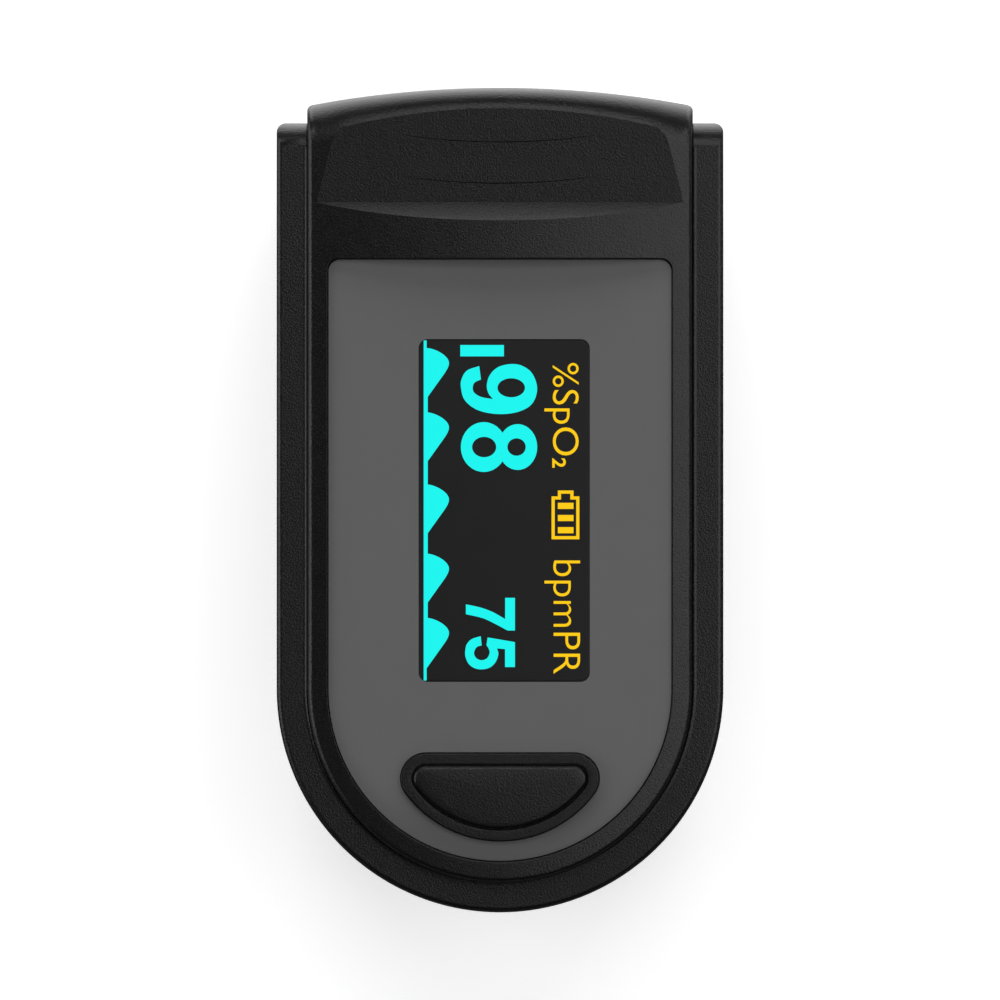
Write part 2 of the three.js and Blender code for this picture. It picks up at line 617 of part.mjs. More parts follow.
function addLowerHalf() {
  const backPlateY = HOUSING_END_Y - WALL - 0.75;
  const frontPlateY = CELL.y - CELL.length / 2 - 1.75;
  const cellBack = CELL.y + CELL.length / 2;
  const cellFront = CELL.y - CELL.length / 2;
  add(lower, "lower_housing", lowerHousing(), BLACK_ABS);
  add(lower, "lower_inner_cover", lowerInnerCover(), BLACK_ABS);
  add(lower, "lower_finger_pad", fingerPad(PAD.bottom), SILICONE);
  add(lower, "battery_door", batteryDoor(), BLACK_ABS);
  // The cells lie side by side and point opposite ways, so that the bridge contact puts them in series.
  add(lower, "battery_1", cell(), CELL_WRAP, [-CELL.x, CELL.y, CELL.z], [Math.PI, 0, 0]);
  add(lower, "battery_2", cell(), CELL_WRAP, [CELL.x, CELL.y, CELL.z]);
  add(lower, "bridge_contact", block(-9.6, 9.6, frontPlateY - 0.15, frontPlateY + 0.15, 3.2, 10.8), NICKEL);
  add(lower, "bridge_spring", contactSpring(CELL.x, frontPlateY + 0.5, cellFront - 0.35), NICKEL);
  const buttonPlace = [-CELL.x, frontPlateY + 0.95, CELL.z];
  add(lower, "bridge_button", upright(2.6, 0, 0, -0.7, 0.7), NICKEL, buttonPlace, [Math.PI / 2, 0, 0]);
  add(lower, "positive_contact", block(1.2, 9.7, backPlateY - 0.15, backPlateY + 0.15, 3.2, 11.6), NICKEL);
  add(lower, "negative_contact", block(-9.7, -1.2, backPlateY - 0.15, backPlateY + 0.15, 3.2, 11.6), NICKEL);
  add(lower, "negative_spring", contactSpring(-CELL.x, backPlateY - 0.5, cellBack + 0.35), NICKEL);
  add(lower, "sensor_board", block(-4, 4, OPTICS_Y - 4, OPTICS_Y + 4, 12.62, 13.02), BOARD_GREEN);
  add(lower, "photodiode", block(-1.6, 1.6, OPTICS_Y - 1.6, OPTICS_Y + 1.6, 13.1, 13.6), CHIP);
  add(lower, "sensor_window", block(-2.85, 2.85, OPTICS_Y - 2.85, OPTICS_Y + 2.85, 13.75, 14.5), CLEAR);
  SCREW_PLACES.forEach(([x, y], i) => {
    const headTop = y > 0 ? 15.4 : 18.0;
    add(lower, `lower_screw_${i + 1}`, screw(1.5, 1.0, 0.75, headTop - 7.5), STEEL, [x, y, headTop]);
  });
  add(lower, "hinge_pin", crosswise(PIN_R, -11.35, 11.35, HINGE_Y, SEAM_Z), STEEL);
  add(lower, "torsion_spring_right", torsionSpring(1), STEEL);
  add(lower, "torsion_spring_left", torsionSpring(-1), STEEL);
}

// The two supply leads run from the back contacts over the valley between the cells to the sensor board.
function addLeads() {
  const back = HOUSING_END_Y - WALL - 1.3;
  [
    ["positive_lead", 1, LEAD_RED],
    ["negative_lead", -1, LEAD_BLACK],
  ].forEach(([name, side, material]) => {
    const path = [
      [2.0, back, 11.7],
      [1.3, back - 1.4, 11.85],
      [0.75, back - 3.5, 11.85],
      [0.65, 12, 11.85],
      [0.65, 4, 11.85],
      [0.65, OPTICS_Y + 3, 11.85],
      [0.9, OPTICS_Y + 1, 11.85],
    ].map(([x, y, z]) => new THREE.Vector3(side * x, y, z));
    add(lower, name, wire(new THREE.CatmullRomCurve3(path), 1.0, 20, 5), material);
  });
}

// The flat cable crosses the hinge behind the pin, with slack for the halves to open.
function addFlexCable() {
  const behind = HINGE_Y + 3.0;
  const line = [
    [OPTICS_Y + 4.15, 13.12],
    [2, 13.12],
    [6, 13.15],
    [9.5, 13.5],
    [12.5, 14.85],
    [behind - 0.2, 16.6],
    [behind - 0.35, 18.5],
    [behind - 0.1, 20.6],
    [behind, 22.6],
    [behind, 24.4],
    [behind, 25.5],
  ];
  add(lower, "flex_cable", ribbon(line, 0, 3.8, 0.25), POLYIMIDE);
}

function addUpperHalf() {
  const switchTop = 29.7;
  add(upper, "upper_housing", upperHousing(), BLACK_ABS);
  add(upper, "top_cover", topCover(), BLACK_ABS);
  add(upper, "front_panel", frontPanel(), GREY_PRINT);
  add(upper, "display_window", displayWindow(), SMOKED);
  add(upper, "upper_finger_pad", fingerPad(PAD.top), SILICONE);
  add(upper, "power_button", powerButton(), BLACK_ABS);
  add(upper, "switch_plunger", upright(0.9, 0, SWITCH_Y, 28.4, switchTop), CHIP);
  add(upper, "switch_body", switchBody(), STEEL);
  add(upper, "main_board", mainBoard(), BOARD_GREEN);
  add(upper, "display_glass", block(-6.9, 7.5, -14.8, 13.2, 28.2, 29.6), GLASS);
  add(upper, "display_cushion", block(-6.2, 6.8, -13.8, 12.2, BOARD_TOP + 0.1, 28.1), FOAM);
  const tail = [
    [13.35, 28.6],
    [14.2, 28.5],
    [14.9, 28.2],
    [15.5, 27.93],
    [16.6, 27.86],
  ];
  add(upper, "display_ribbon", ribbon(tail, 0.3, 9, 0.15), POLYIMIDE);
  const under = BOARD.bottom - 0.05;
  const chips = [
    ["processor_chip", 0, 4, 7, 7, 0.9, CHIP],
    ["front_end_chip", 0, -16, 5, 5, 0.8, CHIP],
    ["power_inductor", -6.6, 1.5, 3.4, 3.4, 1.1, CHIP],
    ["clock_crystal", 6.4, 5.5, 2.4, 3.2, 0.8, STEEL],
    ["capacitor_1", -6.6, 6.2, 3.2, 1.6, 1.1, CERAMIC],
    ["capacitor_2", 6.4, -1.5, 3.2, 1.6, 1.1, CERAMIC],
    ["flex_connector", 0, HINGE_Y + 3.0, 6, 2.2, 1.0, CERAMIC],
  ];
  chips.forEach(([name, x, y, w, l, h, material]) => {
    const body = block(-w / 2, w / 2, -l / 2, l / 2, -h, 0);
    add(upper, name, body, material, [x, y, under]);
  });
  add(upper, "emitter_board", block(-4, 4, OPTICS_Y - 3.5, OPTICS_Y + 3.5, 24.8, 25.3), BOARD_GREEN);
  add(upper, "light_emitter", block(-1.7, 1.7, OPTICS_Y - 1.4, OPTICS_Y + 1.4, 23.85, 24.7), CERAMIC);
  add(upper, "emitter_window", block(-2.85, 2.85, OPTICS_Y - 2.85, OPTICS_Y + 2.85, 22.75, 23.55), CLEAR);
  SCREW_PLACES.forEach(([x, y], i) => {
    const headTop = y > 0 ? 20.3 : 19.3;
    const body = screw(1.5, 1.0, 0.65, 28.2 - headTop);
    add(upper, `upper_screw_${i + 1}`, body, STEEL, [x, y, headTop], [Math.PI, 0, 0]);
  });
  const headTop = under - 0.75;
  BOARD_SCREWS.forEach(([x, y], i) => {
    add(upper, `board_screw_${i + 1}`, screw(1.4, 0.7, 0.55, 2.4), STEEL, [x, y, headTop], [Math.PI, 0, 0]);
  });
}

addLowerHalf();
addLeads();
addFlexCable();
addUpperHalf();

export default oximeter;
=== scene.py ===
"""The looks of a fingertip pulse oximeter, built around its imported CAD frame.

Pieces are modelled in millimetres in the frame of the CAD part, and scaled to metres when they are done.
The part lies on its battery side: +Z is up out of the display, and the finger goes in from -Y.
"""

import math

import bmesh
import bpy
import numpy as np
from mathutils import Matrix, Vector


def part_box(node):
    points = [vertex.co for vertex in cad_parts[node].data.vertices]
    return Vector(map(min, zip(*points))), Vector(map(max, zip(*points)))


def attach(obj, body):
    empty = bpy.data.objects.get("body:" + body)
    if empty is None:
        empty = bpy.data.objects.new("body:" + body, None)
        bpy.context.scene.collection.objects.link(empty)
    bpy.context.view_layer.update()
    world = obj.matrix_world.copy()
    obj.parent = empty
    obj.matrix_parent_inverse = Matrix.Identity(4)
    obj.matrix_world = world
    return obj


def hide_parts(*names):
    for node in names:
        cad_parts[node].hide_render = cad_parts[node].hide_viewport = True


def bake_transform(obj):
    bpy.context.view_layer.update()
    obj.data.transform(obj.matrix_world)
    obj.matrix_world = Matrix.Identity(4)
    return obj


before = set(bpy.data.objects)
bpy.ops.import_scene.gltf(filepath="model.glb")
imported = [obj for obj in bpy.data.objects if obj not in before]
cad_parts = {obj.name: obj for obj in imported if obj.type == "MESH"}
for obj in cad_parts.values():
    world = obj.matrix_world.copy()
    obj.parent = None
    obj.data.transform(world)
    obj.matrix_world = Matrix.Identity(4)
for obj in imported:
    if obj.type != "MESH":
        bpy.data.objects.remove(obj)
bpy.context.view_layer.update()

MM = 0.001


def node_box(name):
    """A CAD node's lowest and highest corners, in mm."""
    low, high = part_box(name)
    return [v / MM for v in low], [v / MM for v in high]


def middle(name):
    """The middle of a CAD node's box, in mm."""
    low, high = node_box(name)
    return [(a + b) / 2 for a, b in zip(low, high)]


# ---------------------------------------------------------------- driving dimensions, in mm
UPPER_LOW, UPPER_HIGH = node_box("upper_housing")
COVER_LOW, COVER_HIGH = node_box("top_cover")
LOWER_HIGH = node_box("lower_housing")[1]
PANEL_LOW, PANEL_HIGH = node_box("front_panel")
WINDOW_LOW, WINDOW_HIGH = node_box("display_window")
CAP_LOW, CAP_HIGH = node_box("power_button")
DOOR_LOW, DOOR_HIGH = node_box("battery_door")
PAD_LOW, PAD_HIGH = node_box("lower_finger_pad")
PAD_TOP_HIGH = node_box("upper_finger_pad")[1]

HALF = UPPER_HIGH[0]
FRONT_Y = UPPER_LOW[1]
ROUND_Y = FRONT_Y + HALF  # centre of the half-round finger end
END_Y = LOWER_HIGH[1]  # the flat end of both housings
RIM_Z = UPPER_HIGH[2]
LOWER_TOP = LOWER_HIGH[2]
SEAM_GAP = 0.2
SEAM_Z = LOWER_TOP + SEAM_GAP
UPPER_BOTTOM = SEAM_Z + SEAM_GAP

COVER_HALF = COVER_HIGH[0]
CREST_Y = COVER_HIGH[1]
CROWN_Z = COVER_HIGH[2]
CROWN_R = 85.0
ARCH_R = 76.7  # the squeeze end, seen from above
COVER_WALL = 1.4
COVER_EDGE = 0.4  # rounding between the cover's top and its sides
COVER_CORNER = 0.5  # of the squeeze end, seen from above
RING_STEPS = {"arch": 43, "corner": 15, "round": 128}  # how finely the outlines are drawn
END_ROUND = 1.68  # rounding of the cover's squeeze end at its middle
END_SIDE_ROUND = 3.1  # and the same at its sides
RIM_ROUND = 1.7  # rounding of the rim where it ends
FIT = 0.15  # between pieces that fit into each other
COVER_GAP = 0.06  # the seam between the cover and the rim

GRIP = {"y": 21.3, "z": CROWN_Z - 1.02, "rise": 0.038, "ramp": 1.36, "ramp_rise": 1.05}
GROOVES = (26.12, 23.17)  # where the ends of the grip's two hairlines lie
HIP = {"y": 12.1, "low_z": 13.75, "high_z": 21.3}  # where the squeeze ends begin to part, and how far they do
POCKET_EDGE = 0.05
POCKET_HALF = PANEL_HIGH[0] + 0.05
POCKET_END = PANEL_HIGH[1] + 0.05
POCKET_CORNER = 0.85
POCKET_FLOOR = PANEL_LOW[2] - 0.05
WINDOW_CORNER = 0.66
PLATE_Z = 28.8  # underside of the cover's plate
DISPLAY_OPENING = (-7.2, -15.2, 20), (7.8, 13.7, 40)  # through the plate, under the panel

BUTTON = {"top_y": -18.13, "arc_y": -15.98, "arc_r": 8.38, "corner": 1.79}
COLLAR_Z = 31.4
COLLAR_WALL = 0.75
FLANGE_WAY = {"inset": 0.45, "top_z": 30.35}  # the room under the collar for the key's flange
CLEAR = 40.0  # past every face of the part

HINGE_Y, HINGE_Z = middle("hinge_pin")[1:]
LUG = {"in": 7.8, "out": 9.4, "r": 2.4, "hole_r": 1.12, "root_z": 23}
SCREWS = [middle(f"upper_screw_{i}")[:2] for i in (1, 2, 3, 4)]
SCREW = {"boss_r": 1.4, "pilot_r": 0.8, "hole_r": 1.0, "head_r": 1.75}
BOARD_SCREWS = [middle(f"board_screw_{i}")[:2] for i in (1, 2)]
BOARD_POST = {"r": 1.5, "pilot_r": 0.65}
ROOF_Z = PAD_TOP_HIGH[2] + FIT + 0.95  # the upper housing's floor, over the pad


# ---------------------------------------------------------------- outlines
def arc(x, y, r, start, end, steps):
    """Points along an arc, with start and end in degrees."""
    angles = np.radians(np.linspace(start, end, steps + 1))
    return np.stack([x + r * np.cos(angles), y + r * np.sin(angles)], 1)


def horseshoe(half, end_y, corner=0.0):
    """Straight sides, a half-round end towards -Y and a flat end at end_y."""
    if corner:
        right = arc(half - corner, end_y - corner, corner, 0, 90, 12)
        left = arc(corner - half, end_y - corner, corner, 90, 180, 12)
    else:
        right, left = np.array([[half, end_y]]), np.array([[-half, end_y]])
    return np.concatenate([right, left, arc(0, ROUND_Y, half, 180, 360, RING_STEPS["round"])])


def arch_y(x, inset=0.0):
    """Where the squeeze end of the cover lies."""
    return CREST_Y - ARCH_R + np.sqrt((ARCH_R - inset) ** 2 - x**2)


def cover_outline(inset):
    """The cover seen from above, with sharp corners at the squeeze end."""
    half = COVER_HALF - inset
    x = np.linspace(half, -half, 41)
    return np.concatenate([np.stack([x, arch_y(x, inset)], 1), arc(0, ROUND_Y, half, 180, 360, 96)])


def button_outline(inset, steps=24):
    """A D with its flat edge towards the display and a round belly."""
    r, big = BUTTON["corner"] - inset, BUTTON["arc_r"] - inset
    y = BUTTON["top_y"] - BUTTON["corner"]
    x = math.sqrt((big - r) ** 2 - (y - BUTTON["arc_y"]) ** 2)
    lean = math.degrees(math.atan2(BUTTON["arc_y"] - y, x))
    left = arc(-x, y, r, 90, 180 + lean, steps)
    belly = arc(0, BUTTON["arc_y"], big, 180 + lean, 360 - lean, 2 * steps)[1:]
    return np.concatenate([left, belly, arc(x, y, r, -lean, 90, steps)[1:]])


def smooth_line(points, steps):
    """A Catmull-Rom line through the points."""
    p = np.array([2 * np.array(points[0]) - points[1], *points, 2 * np.array(points[-1]) - points[-2]])
    out = []
    for i in range(1, len(p) - 2):
        for t in np.linspace(0, 1, steps, endpoint=False):
            a, b = 2 * p[i], (p[i + 1] - p[i - 1]) * t
            c = (2 * p[i - 1] - 5 * p[i] + 4 * p[i + 1] - p[i + 2]) * t**2
            d = (3 * p[i] - 3 * p[i + 1] + p[i + 2] - p[i - 1]) * t**3
            out.append((a + b + c + d) / 2)
    return np.array([*out, p[-2]])


def rounded_box(low, high, r, steps=8):
    (x0, y0), (x1, y1) = low, high
    corners = [(x1 - r, y1 - r, 0), (x0 + r, y1 - r, 90), (x0 + r, y0 + r, 180), (x1 - r, y0 + r, 270)]
    return np.concatenate([arc(x, y, r, a, a + 90, steps) for x, y, a in corners])


def pad_room(back_z):
    """The section in X and Z of the room for a finger pad, from past the seam to the pad's flat back."""
    up = -1 if back_z < SEAM_Z else 1
    half, r = PAD_HIGH[0] + FIT, 4.2
    back, start = back_z + up * FIT, SEAM_Z - up
    right = arc(half - r, back - up * r, r, 0, up * 90, 16)
    left = arc(r - half, back - up * r, r, up * 90, up * 180, 16)
    return np.concatenate([[[half, start]], right, left, [[-half, start]]])


# ---------------------------------------------------------------- mesh building
class Skin:
    """Collects grids of points, in mm, and single faces. Points in the same place become one."""

    def __init__(self):
        self.points, self.faces = [], []

    def add(self, points):
        start = len(self.points)
        self.points.extend(map(tuple, points))
        return list(range(start, start + len(points)))

    def grid(self, rings):
        """Faces between each closed ring of points and the next."""
        rings = [self.add(ring) for ring in rings]
        n = len(rings[0])
        for low, high in zip(rings, rings[1:]):
            for i in range(n):
                j = (i + 1) % n
                self.faces.append((low[i], low[j], high[j], high[i]))

    def face(self, points):
        self.faces.append(tuple(self.add(points)))

    def make(self, name):
        mesh = bpy.data.meshes.new(name)
        mesh.from_pydata(self.points, [], self.faces)
        tidy = bmesh.new()
        tidy.from_mesh(mesh)
        bmesh.ops.remove_doubles(tidy, verts=tidy.verts, dist=1e-4)
        bmesh.ops.recalc_face_normals(tidy, faces=tidy.faces)
        tidy.to_mesh(mesh)
        tidy.free()
        obj = bpy.data.objects.new(name, mesh)
        bpy.context.scene.collection.objects.link(obj)
        return obj


def raised(outline, z):
    """An outline in the plane, as points at height z, which may be one number or one for each point."""
    return np.column_stack([outline, np.broadcast_to(z, len(outline))])


def prism(name, outline, z0, z1):
    skin = Skin()
    skin.grid([raised(outline, z0), raised(outline, z1)])
    skin.face(raised(outline, z0)[::-1])
    skin.face(raised(outline, z1))
    return skin.make(name)


def block(name, low, high):
    (x0, y0, z0), (x1, y1, z1) = low, high
    return prism(name, np.array([[x0, y0], [x1, y0], [x1, y1], [x0, y1]]), z0, z1)


def upright(r, x, y, z0, z1):
    return prism("upright", arc(x, y, r, 0, 360, 32)[:-1], z0, z1)


def turned(obj, rows):
    """Swaps axes: rows say which of X, Y and Z each new coordinate comes from."""
    co = np.array([v.co for v in obj.data.vertices])[:, rows]
    obj.data.vertices.foreach_set("co", co.astype(np.float32).ravel())
    tidy = bmesh.new()
    tidy.from_mesh(obj.data)
    bmesh.ops.recalc_face_normals(tidy, faces=tidy.faces)
    tidy.to_mesh(obj.data)
    tidy.free()
    return obj


def along_x(name, outline, x0, x1):
    """An outline in Y and Z, pulled along X."""
    return turned(prism(name, outline, x0, x1), [2, 0, 1])


def along_y(name, outline, y0, y1):
    """An outline in X and Z, pulled along Y."""
    return turned(prism(name, outline, y0, y1), [0, 2, 1])


def settle(obj):
    """Applies the object's modifiers."""
    made = bpy.data.meshes.new_from_object(obj.evaluated_get(bpy.context.evaluated_depsgraph_get()))
    old, obj.data = obj.data, made
    obj.modifiers.clear()
    bpy.data.meshes.remove(old)
    return obj


def combine(obj, others, operation):
    for other in others:
        modifier = obj.modifiers.new("combine", "BOOLEAN")
        modifier.operation, modifier.solver, modifier.object = operation, "EXACT", other
        settle(obj)
        bpy.data.objects.remove(other)
    return obj


def cut(obj, *others):
    return combine(obj, others, "DIFFERENCE")


def join(obj, *others):
    return combine(obj, others, "UNION")


def round_edges(obj, radius, where, segments=4, sharper_than=25):
    """Rounds the sharp edges whose two ends both pass the test where(x, y, z)."""
    work = bmesh.new()
    work.from_mesh(obj.data)
    bmesh.ops.remove_doubles(work, verts=work.verts, dist=1e-4)
    limit = math.radians(sharper_than)
    chosen = [
        e
        for e in work.edges
        if len(e.link_faces) == 2
        and e.calc_face_angle(0) > limit
        and all(where(*v.co) for v in e.verts)
    ]
    bmesh.ops.bevel(
        work, geom=chosen, offset=radius, offset_type="OFFSET", segments=segments, profile=0.5,
        affect="EDGES", clamp_overlap=True,
    )
    work.to_mesh(obj.data)
    work.free()
    return obj


def near(a, b, gap=0.02):
    return abs(a - b) < gap


def piece(obj, name, body, material, nodes=(), sharp=35):
    """Scales a finished mesh to metres, shades it, and gives it to its body."""
    obj.name = obj.data.name = name
    obj.data.transform(Matrix.Scale(MM, 4))
    obj.data.polygons.foreach_set("use_smooth", [True] * len(obj.data.polygons))
    obj.data.set_sharp_from_angle(angle=math.radians(sharp))
    obj.data.materials.clear()
    obj.data.materials.append(material)
    weighted = obj.modifiers.new("even shading", "WEIGHTED_NORMAL")
    weighted.keep_sharp = True
    if nodes:
        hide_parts(*nodes)
    if body:
        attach(obj, body)
    return obj


# ---------------------------------------------------------------- materials
def linear(colour):
    """A colour as shown on screen, from 0 to 255, as the linear light that a shader takes."""
    return [((c / 255 + 0.055) / 1.055) ** 2.4 if c > 10 else c / 255 / 12.92 for c in colour]


def finish(name, colour, roughness, metallic=0.0, grain=0.02, size=0.25, uneven=0.15):
    """A material with a fine moulded, ground or rolled surface: its grain and the size of that are in mm."""
    made = bpy.data.materials.new(name)
    made.use_nodes = True
    nodes, links = made.node_tree.nodes, made.node_tree.links
    shader = nodes["Principled BSDF"]
    shader.inputs["Base Color"].default_value = (*linear(colour), 1)
    shader.inputs["Metallic"].default_value = metallic
    place = nodes.new("ShaderNodeTexCoord")
    fine = nodes.new("ShaderNodeTexNoise")
    fine.inputs["Scale"].default_value = 1 / (size * MM)
    fine.inputs["Detail"].default_value = 3
    links.new(place.outputs["Object"], fine.inputs["Vector"])
    bump = nodes.new("ShaderNodeBump")
    bump.inputs["Distance"].default_value = grain * MM
    links.new(fine.outputs[0], bump.inputs["Height"])
    links.new(bump.outputs[0], shader.inputs["Normal"])
    broad = nodes.new("ShaderNodeTexNoise")
    broad.inputs["Scale"].default_value = 1 / (9 * size * MM)
    links.new(place.outputs["Object"], broad.inputs["Vector"])
    spread = nodes.new("ShaderNodeMapRange")
    spread.inputs["From Min"].default_value, spread.inputs["From Max"].default_value = 0.3, 0.7
    spread.inputs["To Min"].default_value = roughness * (1 - uneven)
    spread.inputs["To Max"].default_value = min(1.0, roughness * (1 + uneven))
    links.new(broad.outputs[0], spread.inputs["Value"])
    links.new(spread.outputs[0], shader.inputs["Roughness"])
    return made


def glow(name, colour, strength):
    """A lit segment of the display: light comes from it, a little unevenly."""
    made = finish(name, (12, 12, 12), 0.4, grain=0.002)
    shader = made.node_tree.nodes["Principled BSDF"]
    shader.inputs["Emission Color"].default_value = (*linear(colour), 1)
    shader.inputs["Emission Strength"].default_value = strength
    shader.inputs["Specular IOR Level"].default_value = 0.0
    return made


HOUSING = finish("moulded_black_abs", (14, 14, 15), 0.3, grain=0.026, size=0.13, uneven=0.06)
COVER = finish("fine_black_abs", (11, 11, 12), 0.3, grain=0.026, size=0.13, uneven=0.06)
PANEL = finish("printed_grey_panel", (98, 98, 99), 0.6, grain=0.002, size=0.2, uneven=0.05)
SMOKED = finish("smoked_window", (10, 10, 11), 0.34, grain=0.0005, size=0.4, uneven=0.05)
SILICONE = finish("black_silicone", (38, 38, 40), 0.7, grain=0.01, size=0.2)
LENS = finish("dark_red_lens", (52, 20, 20), 0.18, grain=0.001)
STEEL = finish("zinc_plated_steel", (176, 178, 184), 0.32, 1.0, grain=0.004, size=0.3)
SPRING = finish("spring_steel", (150, 150, 155), 0.28, 1.0, grain=0.003, size=0.2)
NICKEL = finish("nickel_plate", (196, 190, 176), 0.26, 1.0, grain=0.003, size=0.3)
BOARD = finish("green_solder_mask", (20, 84, 48), 0.4, grain=0.006, size=0.4)
CHIP = finish("black_epoxy", (30, 30, 32), 0.55, grain=0.004, size=0.15)
CERAMIC = finish("tan_ceramic", (178, 152, 112), 0.45, grain=0.006, size=0.2)
GLASS = finish("display_glass", (14, 18, 24), 0.1, grain=0.0003)
JACKET = finish("blue_cell_jacket", (38, 70, 120), 0.32, grain=0.003, size=0.5)
FOAM = finish("black_foam", (34, 34, 34), 0.95, grain=0.05, size=0.35)
POLYIMIDE = finish("amber_polyimide", (172, 100, 30), 0.38, grain=0.004, size=0.5)
RED = finish("red_lead", (164, 30, 30), 0.45, grain=0.004, size=0.2)
BLACK = finish("black_lead", (20, 20, 20), 0.45, grain=0.004, size=0.2)
CYAN = glow("cyan_segments", (30, 245, 239), 1.0)
YELLOW = glow("yellow_segments", (255, 204, 22), 1.0)


# ---------------------------------------------------------------- solids by rings
def bend(r, z, up=1, inset=0.0, steps=5):
    """A rounded edge as (inset, height): up is 1 at the top of a solid, and -1 at its bottom."""
    angles = np.radians(np.linspace(0, 90, steps + 1))[::up]
    return [(inset + r * (1 - math.cos(a)), z - up * r * (1 - math.sin(a))) for a in angles]


def shell(name, outline, profile):
    """A closed solid with the ring outline(inset) at each height of the profile."""
    skin = Skin()
    rings = [raised(outline(inset), z) for inset, z in profile]
    skin.grid(rings)
    skin.face(rings[0][::-1])
    skin.face(rings[-1])
    return skin.make(name)


def crown(x):
    """The height of the cover's top, which is part of a wide cylinder along Y."""
    return CROWN_Z - CROWN_R + np.sqrt(CROWN_R**2 - x**2)


def cover_ring(tilt):
    """The cover's outline where its rounded edge leans by tilt, in degrees: 90 on the wall and 0 on the top.
    The edge is small along the sides and wide at the squeeze end, and grows towards the corners there."""
    lean, corner = math.radians(tilt), COVER_CORNER
    out, down = 1 - math.sin(lean), 1 - math.cos(lean)
    soft_down = 2 * (down - lean / 2 + math.sin(2 * lean) / 4)
    soft = lambda x: (END_SIDE_ROUND - END_ROUND) * np.abs(x / COVER_HALF) ** 2
    side, centre_y = COVER_EDGE * out, CREST_Y - ARCH_R
    arch_x = COVER_HALF - side - corner
    end = END_ROUND * out + soft(arch_x) * out**2
    rise = math.sqrt((ARCH_R - end - corner) ** 2 - arch_x**2)
    turn = math.degrees(math.atan2(rise, arch_x))
    angles = np.radians(np.linspace(turn, 180 - turn, RING_STEPS["arch"])[1:-1])
    reach = ARCH_R - END_ROUND * out - soft(ARCH_R * np.cos(angles)) * out**2
    arch = np.stack([reach * np.cos(angles), centre_y + reach * np.sin(angles)], 1)
    flat = np.concatenate([
        arc(arch_x, centre_y + rise, corner, 0, turn, RING_STEPS["corner"]),
        arch,
        arc(-arch_x, centre_y + rise, corner, 180 - turn, 180, RING_STEPS["corner"]),
        arc(0, ROUND_Y, COVER_HALF - side, 180, 360, RING_STEPS["round"]),
    ])
    end_drop = lambda x: END_ROUND * down + soft(x) * soft_down
    side_drop = COVER_EDGE * down
    share = np.linspace(0, 1, RING_STEPS["corner"] + 1)
    corner_drop = side_drop + (end_drop(arch_x) - side_drop) * share**2 * (3 - 2 * share)
    round_drop = np.full(RING_STEPS["round"] + 1, side_drop)
    drop = np.concatenate([corner_drop, end_drop(arch[:, 0]), corner_drop[::-1], round_drop])
    top = crown(flat[:, 0])
    floor = GRIP["z"] + GRIP["rise"] * (CREST_Y - END_ROUND - GRIP["y"]) + 0.01
    squeeze_end = flat[:, 1] > GRIP["y"]
    top[squeeze_end] = np.minimum(top[squeeze_end], floor)
    return raised(flat, top - drop)


def pocket_ring(inset, drop):
    """The panel pocket's outline, with as many points as cover_ring's. An inset below 0 lies outside it."""
    half, end, r = POCKET_HALF - inset, POCKET_END - inset, POCKET_CORNER - min(inset, 0)
    x = np.linspace(half - r, r - half, RING_STEPS["arch"])[1:-1]
    flat = np.concatenate([
        arc(half - r, end - r, r, 0, 90, RING_STEPS["corner"]),
        np.stack([x, np.full(len(x), end)], 1),
        arc(r - half, end - r, r, 90, 180, RING_STEPS["corner"]),
        arc(0, ROUND_Y, half, 180, 360, RING_STEPS["round"]),
    ])
    return raised(flat, crown(flat[:, 0]) - drop)


def mixed(a, b, share):
    """A ring on the cover's top, part of the way from ring a to ring b."""
    ring = a + (b - a) * share
    ring[:, 2] = crown(ring[:, 0])
    return ring


def grip_cutter():
    """The thumb grip: a ramp that steepens towards the display, and a floor that rises a little."""
    foot, reach = GRIP["y"], 32.0
    t = np.linspace(0, 1, 25)
    ramp_y = foot - GRIP["ramp"] * t
    ramp_z = GRIP["z"] + GRIP["ramp_rise"] * (0.85 * t + 0.15 * t**2)
    profile = [*zip(ramp_y, ramp_z), (ramp_y[-1], CLEAR), (reach, CLEAR)]
    profile.append((reach, GRIP["z"] + GRIP["rise"] * (reach - foot)))
    return along_x("grip_cutter", np.array(profile)[::-1], -20, 20)


def engraver(end_y, half=7.16, dip=0.53, width=0.1, depth=0.042):
    """A hairline groove in the grip's floor, curved towards the display and fading out at both ends."""
    r = (half**2 + dip**2) / (2 * dip)
    rows = []
    for x in np.linspace(-half, half, 49):
        y = end_y - dip + r - math.sqrt(r**2 - x**2)
        z = GRIP["z"] + GRIP["rise"] * (y - GRIP["y"])
        fade = max(0.12, math.sqrt(1 - (x / half) ** 2))
        w, d = width * fade / 2, depth * fade
        rows.append([(x, y - w, z), (x, y - w, z + 0.1), (x, y + w, z + 0.1), (x, y + w, z), (x, y, z - d)])
    skin = Skin()
    skin.grid(rows)
    skin.face(rows[0])
    skin.face(rows[-1][::-1])
    return skin.make("engraver")


def collar():
    """The raised ring around the power button."""
    edge, foot = 0.06, POCKET_FLOOR - 0.3
    turn = np.radians(np.linspace(0, 90, 15))
    inner = [(COLLAR_WALL - edge + edge * math.sin(a), COLLAR_Z - edge * (1 - math.cos(a))) for a in turn]
    profile = [(0, foot), *bend(edge, COLLAR_Z, steps=14), *inner, (COLLAR_WALL, foot)]
    rings = [raised(button_outline(inset), z) for inset, z in profile]
    skin = Skin()
    skin.grid(rings + rings[:1])
    return skin.make("collar")


